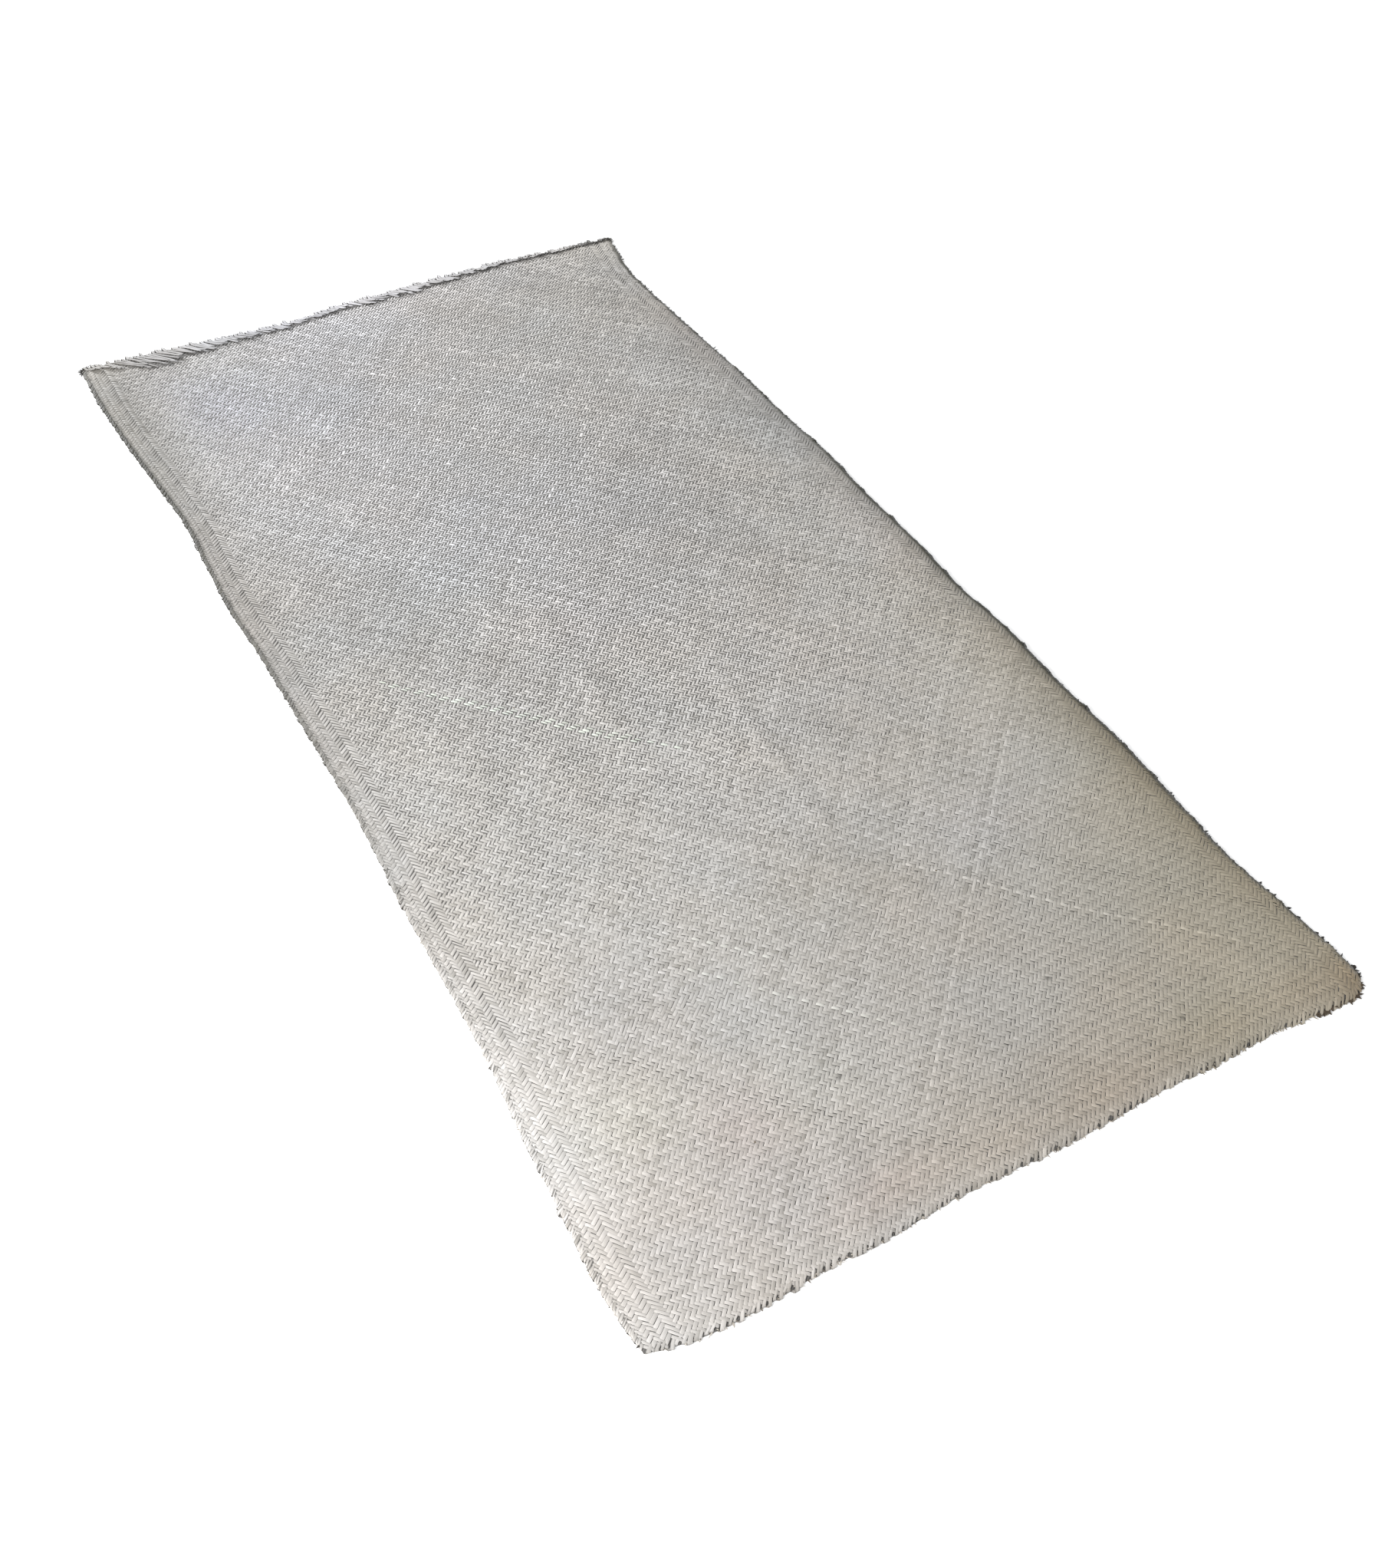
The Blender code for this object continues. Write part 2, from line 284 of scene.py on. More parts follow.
def turned_down(inward, height, radius):
    """The distance from the edge as seen from above, and the drop there, of a sheet that
    drops through the height to its edge on an arc."""
    full = np.arccos(1 - height / radius)
    left = np.maximum(full - inward / radius, 0)
    drop = radius * (1 - np.cos(left))
    on_arc = radius * (np.sin(full) - np.sin(left))
    past_arc = inward - radius * full + radius * np.sin(full)
    return np.where(left > 0, on_arc, past_arc), drop


def rounded_corner(from_right):
    """How far the near edge is set back beside the round corner."""
    part = np.clip(1 - from_right / CORNER_RADIUS, 0, 1)
    return CORNER_RADIUS * (1 - np.sqrt(1 - part**2))


def ridges(x, y):
    """The height of the faint ridges at points."""
    height = np.zeros_like(x)
    for x1, y1, x2, y2, half_width, most in RIDGES:
        run = np.array((x2 - x1, y2 - y1))
        along = ((x - x1) * run[0] + (y - y1) * run[1]) / run.dot(run)
        along = np.clip(along, 0, 1)
        away = np.hypot(x - x1 - along * run[0], y - y1 - along * run[1])
        height += most * np.clip(1 - (away / half_width) ** 2, 0, None) ** 2
    return height


def creased(from_left, from_near):
    """The height that the creases add at places, and what their colour is multiplied by as painted
    light on their crests.
    """
    height = np.zeros_like(from_left)
    crest_light = np.ones_like(from_left)
    for x1, y1, x2, y2, half_width, most, gain in CREASES:
        run = np.array((x2 - x1, y2 - y1))
        long = np.hypot(*run)
        right = from_left - WIDTH / 2 - x1
        forward = from_near - LENGTH / 2 - y1
        along = (right * run[0] + forward * run[1]) / long
        aside = (right * run[1] - forward * run[0]) / long
        crest = np.exp(-((aside / half_width) ** 2)) * (along > 0) * (along < long)
        height += most * crest
        crest_light += gain * crest
    return height, crest_light


def from_round_edge(from_left, from_near):
    """The distance from the near edge as the solid counts it, which is from its round corner.
    It is below 0 outside the corner."""
    near = through(NEAR_INSET, from_left)
    span = LENGTH - near - through(FAR_INSET, from_left)
    cut = rounded_corner(WIDTH - from_left)
    return (from_near * span - cut * LENGTH) / (span - cut)


def underside(from_left, from_near):
    """Points of the sheet's underside, from distances along the flat sheet."""
    left = through(LEFT_INSET, from_near)
    right = through(RIGHT_INSET, from_near)
    arch = np.maximum(through(RIGHT_ARCH, from_near), 0)
    inward = WIDTH - from_left
    right += THICKNESS * np.sin(np.arccos(1 - arch / RIGHT_TURN_RADIUS))
    seen, drop = turned_down(inward, arch, RIGHT_TURN_RADIUS)
    at_left = turned_down(WIDTH, arch, RIGHT_TURN_RADIUS)[0]
    x = WIDTH / 2 - right - seen * (WIDTH - left - right) / at_left

    near = through(NEAR_INSET, from_left)
    far = through(FAR_INSET, from_left)
    y = -LENGTH / 2 + near + from_near * (LENGTH - near - far) / LENGTH

    counted = from_round_edge(from_left, from_near)
    near_rise = rise_from_edge(counted, NEAR_TURN_REACH)
    side_rise = rise_from_edge(inward, SIDE_TURN_REACH)
    side_arch = (arch * fall_off(inward, RIGHT_ARCH_REACH) - drop) * near_rise
    near_arch = np.maximum(through(NEAR_ARCH, from_left), 0)
    near_arch = near_arch * fall_off(counted, NEAR_ARCH_REACH)
    z = side_arch + near_arch * near_rise * side_rise + ridges(x, y)
    return np.stack((x, y, np.maximum(z, 0)), axis=-1)


def upward(from_left, from_near):
    """The direction square to the sheet."""
    step = 0.001
    across = underside(from_left + step, from_near) - underside(from_left - step, from_near)
    along = underside(from_left, from_near + step) - underside(from_left, from_near - step)
    normal = np.cross(across, along)
    return normal / np.linalg.norm(normal, axis=-1, keepdims=True)


def wander(from_left, from_near):
    """Places in the plaiting, shifted a little so that its rows aren't quite straight."""
    edge = np.minimum(from_left, WIDTH - from_left)
    edge = np.minimum(edge, np.minimum(from_near, LENGTH - from_near))
    free = 1 - fall_off(edge, WANDER_EDGE)
    across = np.zeros_like(from_left)
    along = np.zeros_like(from_left)
    for most_across, most_along, waves_across, waves_along, phase in WANDER:
        angle = 2 * np.pi * (waves_across * from_left + waves_along * from_near) + phase
        across += most_across * np.sin(angle)
        along += most_along * np.cos(angle * WANDER_SKEW)
    return from_left + free * across, from_near + free * along


def bumps(from_left, from_near):
    """The height of the uneven swellings of the plaiting beside the right edge."""
    waves = np.zeros_like(from_near)
    for length, share in BUMP_WAVES:
        waves += share * np.sin(2 * np.pi * from_near / length + length * BUMP_PHASE)
    beside = fall_off(np.abs(WIDTH - from_left - BUMPS_AT), BUMPS_REACH)
    return BUMP_HEIGHT * np.maximum(waves, 0) * beside


def on_sheet(from_left, from_near, height):
    """Points at a height over the sheet's underside."""
    up = upward(from_left, from_near)
    return underside(from_left, from_near) + np.asarray(height)[..., None] * up


# Meshes


def mesh_piece(name, points, quads, material, values):
    """A mesh from arrays of points and quads, with values for its points."""
    mesh = bpy.data.meshes.new(name)
    mesh.vertices.add(len(points))
    mesh.vertices.foreach_set("co", points.astype(np.float32).ravel())
    mesh.loops.add(quads.size)
    mesh.loops.foreach_set("vertex_index", quads.astype(np.int32).ravel())
    mesh.polygons.add(len(quads))
    mesh.polygons.foreach_set("loop_start", np.arange(0, quads.size, 4, dtype=np.int32))
    mesh.update(calc_edges=True)
    mesh.shade_smooth()
    for key, array in values.items():
        kind, channel = ("FLOAT_VECTOR", "vector") if array.ndim == 2 else ("FLOAT", "value")
        made = mesh.attributes.new(key, kind, "POINT")
        made.data.foreach_set(channel, array.astype(np.float32).ravel())
    mesh.materials.append(material)
    piece = bpy.data.objects.new(name, mesh)
    bpy.context.scene.collection.objects.link(piece)
    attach(piece, "root")
    return piece


def deep(values):
    """One value for each ribbon, to go with arrays of its stations and lanes."""
    return values[:, None, None]


def grid_quads(rows, columns):
    """The quads of a grid of points that run row by row."""
    point = np.arange(rows * columns).reshape(rows, columns)
    quads = np.stack((point[:-1, :-1], point[:-1, 1:], point[1:, 1:], point[1:, :-1]), axis=-1)
    return quads.reshape(-1, 4)


def ribbon_quads(count, stations, lanes):
    """The quads of a number of ribbons, each a grid of stations and lanes."""
    starts = deep(np.arange(count) * stations * lanes)
    return (grid_quads(stations, lanes) + starts).reshape(-1, 4)


def add_map(piece, points, face=None):
    """A flat map of the piece from above. A sheet's underside and face get half of it each."""
    mesh = piece.data
    corner = np.empty(len(mesh.loops), np.int32)
    mesh.loops.foreach_get("vertex_index", corner)
    places = ((points - points.min(axis=0)) / np.ptp(points, axis=0))[:, :2]
    if face is not None:
        places[:, 0] = places[:, 0] * MAP_HALF + face * (1 - MAP_HALF)
    layer = mesh.uv_layers.new(name="OFBake")
    layer.data.foreach_set("uv", places[corner].astype(np.float32).ravel())


# Materials


class Nodes:
    """Short calls to build a material's nodes."""

    def __init__(self, name):
        self.material = bpy.data.materials.new(name)
        self.material.use_nodes = True
        self.tree = self.material.node_tree

    def put(self, socket, value):
        if isinstance(value, bpy.types.NodeSocket):
            self.tree.links.new(value, socket)
        elif value is not None:
            socket.default_value = value

    def look(self, values):
        """Gives values or other nodes' outputs to the material's shader."""
        shader = self.tree.nodes["Principled BSDF"]
        for key, value in values.items():
            self.put(shader.inputs[key], value)

    def node(self, kind, output, inputs, **settings):
        """An output of a new node, or all of them."""
        made = self.tree.nodes.new("ShaderNode" + kind)
        for key, value in settings.items():
            setattr(made, key, value)
        for key, value in inputs.items():
            self.put(made.inputs[key], value)
        return made.outputs if output is None else made.outputs[output]

    def attribute(self, name, output="Vector"):
        return self.node("Attribute", output, {}, attribute_name=name)

    def maths(self, operation, a, b=None):
        return self.node("Math", 0, {0: a, 1: b}, operation=operation)

    def scaled(self, vector, scale):
        return self.node("VectorMath", 0, {0: vector, 1: scale}, operation="MULTIPLY")

    def noise(self, vector, scale, detail=2.0, roughness=0.5):
        inputs = {"Vector": vector, "Scale": scale, "Detail": detail, "Roughness": roughness}
        return self.node("TexNoise", "Fac", inputs)

    def between(self, value, low, high, to_low=0.0, to_high=1.0):
        inputs = {"Value": value, 1: low, 2: high, 3: to_low, 4: to_high}
        return self.node("MapRange", "Result", inputs)

    def spread(self, noise, low, high):
        """A noise's usual range, laid out between two values."""
        return self.between(noise, NOISE_LOW, NOISE_HIGH, low, high)

    def mix(self, part, a, b, blend="MIX"):
        inputs = {0: part, 6: a, 7: b}
        return self.node("Mix", 2, inputs, data_type="RGBA", blend_type=blend)

    def bump(self, height, strength, distance):
        inputs = {"Height": height, "Strength": strength, "Distance": distance}
        return self.node("Bump", "Normal", inputs)


PALE = (0.545, 0.534, 0.513, 1)
DULL = (0.285, 0.275, 0.252, 1)
# The colour of painted shade in the gaps, mixed with dirt where it is on the strands
CREVICE = (0.088, 0.084, 0.079, 1)
BLUE_TINT = (0.989, 0.998, 1.016, 1)
PINK_TINT = (1.013, 0.996, 0.985, 1)
PALE_PATCH = (1.022, 1.022, 1.02, 1)
DARK_PATCH = (0.975, 0.975, 0.975, 1)
SPECK_COLOUR = (0.14, 0.12, 0.09, 1)
SPECK_SPREAD = 24.0
SPECK_RADIUS = 0.0013
SPECK_SHARE = 0.30
# Each noise's scale, detail and roughness, how its places are stretched, and the range used
NOISE_LOW = 0.3
NOISE_HIGH = 0.7
HUE_NOISE = (7.0, 2.0, 0.55)
HUE_RANGE = (0.35, 0.65)
LIGHT_NOISE = (11.0, 3.0, 0.6)
LIGHT_STRETCH = (1.0, 0.6, 1.0)
LIGHT_RANGE = (0.32, 0.68)
STREAK_NOISE = (1.0, 3.0, 0.6)
STREAK_STRETCH = (45, 2600, 1)
STREAK_MOST = 0.16
BLOTCH_STRETCH = (170, 260, 1)
BLOTCH_MOST = 0.08
STRAND_ROUGHNESS = (0.42, 0.58)
STRAND_RELIEF = (0.35, 0.0003)
CORE_NOISE = (1.0, 4.0, 0.6)
CORE_STRETCH = (0.35, 0.35, 1)
CORE_CROWN_POWER = 0.5
CORE_END_POWER = 0.35
CORE_ROUGHNESS = (0.55, 0.75)
CORE_RELIEF = (0.9, 0.0008)
# From how much dirt and painted shade on strands, folded strands and turned-back ends darken, to how
# much, and how dark they get
STRAND_CREVICE = 0.62
FOLD_CREVICE = 0.5
END_CREVICE = 0.55
CREVICE_FULL = 1.05
CREVICE_MOST = 0.85


def patched(n, colour):
    """A colour with the mat's wide, faint patches of blue, pink, light and dark."""
    place = n.node("TexCoord", "Object", {})
    hue = n.between(n.noise(place, *HUE_NOISE), *HUE_RANGE)
    colour = n.mix(1.0, colour, n.mix(hue, BLUE_TINT, PINK_TINT), "MULTIPLY")
    light = n.between(n.noise(n.scaled(place, LIGHT_STRETCH), *LIGHT_NOISE), *LIGHT_RANGE)
    colour = n.mix(1.0, colour, n.mix(light, DARK_PATCH, PALE_PATCH), "MULTIPLY")
    cells = n.node("TexVoronoi", None, {"Vector": place, "Scale": SPECK_SPREAD})
    near = n.maths("LESS_THAN", cells["Distance"], SPECK_RADIUS * SPECK_SPREAD)
    chosen = n.maths("LESS_THAN", cells["Color"], SPECK_SHARE)
    return n.mix(n.maths("MULTIPLY", near, chosen), colour, SPECK_COLOUR)


def strand_material(name, crevice_from):
    """Split rattan: fine fibres along the strand, its own tone, and dirt and painted shade beside its
    edges.
    """
    n = Nodes(name)
    fibre = n.attribute("fibre")
    streak = n.noise(n.scaled(fibre, STREAK_STRETCH), *STREAK_NOISE)
    blotch = n.noise(n.scaled(fibre, BLOTCH_STRETCH), 1.0)
    blotched = n.spread(blotch, -BLOTCH_MOST, BLOTCH_MOST)
    shade = n.maths("ADD", n.attribute("tone", "Fac"), n.spread(streak, -STREAK_MOST, STREAK_MOST))
    shade = n.maths("ADD", shade, blotched)
    colour = patched(n, n.mix(n.between(shade, 0.0, 1.0), DULL, PALE))
    # Stains with painted light and shade multiply the colour.
    colour = n.mix(1.0, colour, n.attribute("stain_light_and_shade", "Color"), "MULTIPLY")
    dirt_and_shade = n.maths("ADD", n.attribute("dirt_and_shade", "Fac"), blotched)
    # Dirt and painted shade in the gaps and dips darken the colour towards CREVICE.
    hidden = n.between(dirt_and_shade, crevice_from, CREVICE_FULL, 0.0, CREVICE_MOST)
    n.look(
        {
            "Base Color": n.mix(hidden, colour, CREVICE),
            "Roughness": n.spread(streak, *STRAND_ROUGHNESS),
            "Normal": n.bump(streak, *STRAND_RELIEF),
            "Specular IOR Level": 0.55,
        }
    )
    return n.material


def core_material():
    """The sheet under the strands: painted dark above as the shade seen between the strands, and
    plaited in low relief below with painted shade in its grooves.
    """
    n = Nodes("rattan_core")
    lattice = n.attribute("lattice")
    parts = n.node("SeparateXYZ", None, {0: lattice})
    row = n.maths("FLOORED_MODULO", parts[1], float(REPEAT))
    rising = n.maths("LESS_THAN", row, float(FLOAT))
    total = n.maths("ADD", parts[0], parts[1])
    apart = n.maths("SUBTRACT", parts[1], parts[0])
    first = n.maths("FRACT", n.maths("MULTIPLY", apart, 0.5))
    second = n.maths("FRACT", n.maths("MULTIPLY", total, 0.5))
    lane = n.node("Mix", 0, {0: rising, 2: second, 3: first})
    crown = n.maths("SUBTRACT", 1.0, n.maths("ABSOLUTE", n.between(lane, 0, 1, -1, 1)))
    crown = n.maths("POWER", crown, CORE_CROWN_POWER)
    along = n.maths("ABSOLUTE", n.maths("PINGPONG", row, 1.0))
    relief = n.maths("MULTIPLY", crown, n.maths("POWER", along, CORE_END_POWER))
    blotch = n.noise(n.scaled(lattice, CORE_STRETCH), *CORE_NOISE)
    # Painted shade in the grooves of the relief
    colour = n.mix(relief, CREVICE, n.mix(blotch, DULL, PALE))
    # Above, the sheet is all painted shade
    n.look(
        {
            "Base Color": n.mix(n.attribute("above", "Fac"), colour, CREVICE),
            "Roughness": n.spread(blotch, *CORE_ROUGHNESS),
            "Normal": n.bump(relief, *CORE_RELIEF),
        }
    )
    return n.material


# Colour of the mat over its whole face, as (x, y, reach in x, reach in y, red, green, blue),
# where the three are what the rattan's own colour is multiplied by.
# Besides real stains, the darkening along the right side where it curls down is painted shade, and the
# brightening by the near-left border is painted light.
STAINS_LIGHT_AND_SHADE = (
    (-0.43, -0.75, 0.17, 0.55, 1.15, 1.14, 1.14), (-0.43, -0.6, 0.05, 0.2, 1.16, 1.16, 1.17),
    (-0.27, -0.8, 0.16, 0.12, 0.94, 0.91, 0.9), (0.45, -0.5, 0.36, 0.8, 0.865, 0.85, 0.8),
    (0.44, -0.56, 0.09, 0.34, 0.83, 0.79, 0.69), (0.45, 0.2, 0.05, 0.6, 0.77, 0.76, 0.76),
    (0.455, -0.48, 0.045, 0.36, 0.73, 0.68, 0.61), (0.4, -0.85, 0.22, 0.2, 0.96, 0.92, 0.84),
    (0.44, -0.885, 0.035, 0.035, 0.98, 0.88, 0.76), (0.14, -0.87, 0.26, 0.03, 0.96, 0.91, 0.86),
    (0.06, -0.84, 0.18, 0.07, 0.91, 0.87, 0.82), (0.04, -0.62, 0.15, 0.2, 0.95, 0.93, 0.91),
    (-0.22, -0.02, 0.1, 0.14, 0.94, 0.93, 0.93), (0.14, 0.2, 0.3, 0.7, 1.02, 1.02, 1.05),
    (-0.04, 0.85, 0.16, 0.1, 1.12, 1.13, 1.17), (0.18, 0.88, 0.3, 0.07, 1.12, 1.11, 1.12),
    (0.42, 0.62, 0.08, 0.32, 0.95, 0.94, 0.93), (0.2, -0.8, 0.07, 0.05, 0.97, 0.93, 0.88),
    (-0.16, -0.85, 0.06, 0.03, 1.02, 0.97, 0.95), (-0.24, -0.72, 0.04, 0.05, 1.02, 0.975, 0.965),
    (-0.34, -0.66, 0.07, 0.05, 1.0, 1.0, 0.965), (-0.27, 0.5, 0.18, 0.26, 1.03, 1.04, 1.09),
    (-0.06, 0.25, 0.2, 0.16, 0.98, 1.0, 1.04), (-0.43, 0.64, 0.05, 0.42, 0.67, 0.66, 0.63),
    (-0.43, 0.08, 0.05, 0.42, 0.8, 0.79, 0.79), (-0.38, 0.45, 0.06, 0.45, 0.95, 0.95, 0.95),
    (-0.3, 0.18, 0.08, 0.16, 0.91, 0.91, 0.92), (-0.15, 0.7, 0.14, 0.22, 0.99, 1.01, 1.07),
    (0.25, -0.22, 0.14, 0.14, 1.08, 1.07, 1.07), (0.06, 0.48, 0.14, 0.2, 1.04, 1.05, 1.06),
    (-0.2, 0.12, 0.1, 0.1, 0.99, 1.01, 1.03), (0.43, 0.87, 0.07, 0.05, 1.15, 1.15, 1.13),
    (-0.43, 0.87, 0.06, 0.05, 1.12, 1.11, 1.1), (0.26, -0.86, 0.07, 0.05, 0.94, 0.94, 0.89),
    (0.31, -0.7, 0.08, 0.14, 0.96, 0.94, 0.9), (-0.27, -0.55, 0.08, 0.1, 0.93, 0.92, 0.92),
    (-0.26, 0.12, 0.09, 0.25, 0.95, 0.96, 0.96), (-0.36, 0.8, 0.07, 0.07, 0.93, 0.93, 0.95),
    (-0.425, 0.3, 0.04, 0.14, 1.09, 1.08, 1.07), (-0.02, 0.87, 0.1, 0.04, 1.1, 1.1, 1.1),
    (-0.3, 0.7, 0.06, 0.08, 0.94, 0.96, 1.03), (0.05, 0.7, 0.1, 0.08, 1.04, 1.03, 1.03),
    (0.4, 0.3, 0.06, 0.12, 0.93, 0.95, 0.97), (0.39, -0.01, 0.04, 0.11, 1.12, 1.11, 1.13),
    (-0.05, -0.3, 0.14, 0.1, 1.06, 1.05, 1.04), (0.0, -0.5, 0.1, 0.06, 0.94, 0.94, 0.93),
    (0.2, -0.8, 0.05, 0.03, 1.03, 1.05, 1.08), (0.38, -0.86, 0.03, 0.03, 0.93, 0.91, 0.88),
    (-0.15, -0.72, 0.06, 0.05, 1.05, 1.06, 1.05), (0.43, 0.55, 0.04, 0.1, 0.93, 0.91, 0.9),
    (0.42, -0.62, 0.03, 0.04, 1.06, 1.06, 1.05), (0.45, -0.35, 0.02, 0.5, 0.95, 1.0, 0.98),
    (0.44, -0.62, 0.03, 0.18, 0.99, 0.97, 0.92), (0.34, -0.42, 0.06, 0.1, 1.03, 1.04, 1.07),
    (-0.05, 0.03, 0.08, 0.07, 1.05, 1.04, 1.05), (0.22, 0.62, 0.07, 0.1, 1.04, 1.05, 1.06),
    (0.22, -0.5, 0.08, 0.06, 1.05, 1.05, 1.08),
)
# Painted shade on the sides towards their edges: by distance from the near edge, how much and how far
# in
RIGHT_SHADE = (
    (0.0, 0.55, 0.006), (0.2, 0.74, 0.011), (0.4, 0.84, 0.0145), (0.9, 0.86, 0.0155),
    (1.2, 0.84, 0.0122), (1.4, 0.82, 0.0072), (1.55, 0.78, 0.0052), (1.7, 0.6, 0.0045),
    (1.796, 0.2, 0.004),
)
LEFT_SHADE = (
    (0.0, 0.0, 0.005), (0.6, 0.05, 0.005), (0.9, 0.3, 0.005), (1.3, 0.6, 0.005), (1.7, 0.6, 0.005),
    (1.796, 0.4, 0.005),
)
SHADE_POWER = 6
SHADE_HUE = (0.99, 0.98, 1.10)
# A darker painted line of shade beside the edge: how wide it is to the shade, and how dark
LINE_REACH = 0.90
LINE_SHARE = 0.80
# Single dark specks: their places and radius, and what the colour is multiplied by there
SPECK_SHADE = 0.55
SPECKS = (
    (-0.126, -0.72, 0.0035), (0.362, -0.53, 0.003), (0.142, -0.72, 0.003), (-0.3, -0.105, 0.0028),
    (0.29, -0.8, 0.0035), (0.235, -0.83, 0.0028),
)


def stain_light_and_shade_at(points):
    """The colour factors at points: the stains with the painted light and shade among them, and the
    painted shade along the sides.
    """
    x = points[:, 0]
    y = points[:, 1]
    total = np.ones((len(points), 3))
    for sx, sy, rx, ry, red, green, blue in STAINS_LIGHT_AND_SHADE:
        far = ((x - sx) / rx) ** 2 + ((y - sy) / ry) ** 2
        part = np.exp(-far)[:, None]
        total *= 1 + part * (np.array((red, green, blue)) - 1)
    from_near = y + LENGTH / 2
    # Painted shade along both sides, with a darker painted line at the edge
    for inset, shade, side in ((RIGHT_INSET, RIGHT_SHADE, 1), (LEFT_INSET, LEFT_SHADE, -1)):
        inward = WIDTH / 2 - through(inset, from_near) - side * x
        most = through(shade, from_near)
        reach = through(shade, from_near, 2)
        part = most * np.exp(-((inward / reach) ** SHADE_POWER))
        line = most * np.exp(-((inward / (LINE_REACH * reach)) ** SHADE_POWER))
        total *= 1 - part[:, None] * np.array(SHADE_HUE)
        total *= 1 - LINE_SHARE * line[:, None]
    for sx, sy, radius in SPECKS:
        near = np.hypot(x - sx, y - sy) < radius
        total[near] *= SPECK_SHADE
    return total


# The plaiting


def slash_on_top(m, n):
    """Whether the strand that rises to the right lies on top at a crossing."""
    by_row = n % REPEAT < FLOAT
    by_column = m % REPEAT < FLOAT
    band = (n >= BAND_START) & (n < BAND_STOP)
    from_side = np.minimum(m, ACROSS - m)
    by_border = np.isin(from_side, RISING_COLUMNS)
    return np.where(from_side < BORDER, by_border, np.where(band, by_column, by_row))


def find_floats(rises):
    """The first crossings and the lengths of the stretches that lie on top, of the strands
    that rise to the right or of the others."""
    m, n = np.meshgrid(np.arange(ACROSS + 1), np.arange(ALONG + 1), indexing="ij")
    real = (m + n) % 2 == 0
    on_top = real & (slash_on_top(m, n) == rises)
    step = 1 if rises else -1
    before = np.zeros_like(on_top)
    if rises:
        before[1:, 1:] = on_top[:-1, :-1]
    else:
        before[:-1, 1:] = on_top[1:, :-1]
    start_m, start_n = np.nonzero(on_top & ~before)
    length = np.ones(len(start_m), int)
    going = np.ones(len(start_m), bool)
    while going.any():
        next_m = start_m + step * length
        next_n = start_n + length
        inside = (next_m >= 0) & (next_m <= ACROSS) & (next_n <= ALONG)
        found = np.zeros(len(start_m), bool)
        found[inside] = on_top[next_m[inside], next_n[inside]]
        going &= found
        length[going] += 1
    return start_m, start_n, length


def gap_strength(across, from_near):
    """How strong the gaps are, at a share of the width from the left."""
    left, middle, right = (through(GAPS, from_near, column) for column in (1, 2, 3))
    part = 2 * across
    on_left = left + (middle - left) * part
    on_right = middle + (right - middle) * (part - 1)
    return np.where(part < 1, on_left, on_right)


class Strands:
    """What each strand has of its own: its tone, width and height."""

    def __init__(self, count):
        self.tone = chance.normal(0, STRAND_TONE, count)
        self.drift = chance.normal(0, STRAND_DRIFT, (2, count))
        self.phase = chance.random((2, count)) * 2 * np.pi
        self.width = 1 - np.abs(chance.normal(0, STRAND_NARROWER, count))
        thin = chance.random(count) < THIN_SHARE
        self.width[thin] *= THIN_WIDTH
        self.height = chance.normal(0, HEIGHT_VARIES, count)
        self.place = chance.random(count) * FIBRES_APART
        self.gap = chance.normal(0, STRAND_GAP, count)
        self.gap_drift = np.abs(chance.normal(0, STRAND_GAP_DRIFT, count))

    def tone_at(self, strand, along):
        """A strand's tone, which drifts along it."""
        tone = self.tone[strand]
        for waves, drift, phase in zip(DRIFT_WAVES, self.drift, self.phase):
            tone = tone + drift[strand] * np.sin(2 * np.pi * along * waves + phase[strand])
        return tone

    def gap_at(self, strand, along):
        """How much darker a strand's gaps are, which changes along it."""
        turn = 2 * np.pi * along * GAP_WAVES + 3 * self.phase[0][strand]
        return self.gap[strand] + self.gap_drift[strand] * np.sin(turn)


def marked(rises, number, crossing):
    """What marked strands gain in tone, green and height, at crossings across the mat."""
    gain = np.zeros((3, len(number)))
    for same_way, strand, start, stop, tone, green, height in MARKED_STRANDS:
        here = (number == strand) & (crossing >= start) & (crossing <= stop)
        if same_way == rises:
            gain[:, here] += np.array((tone, green, height))[:, None]
    return gain


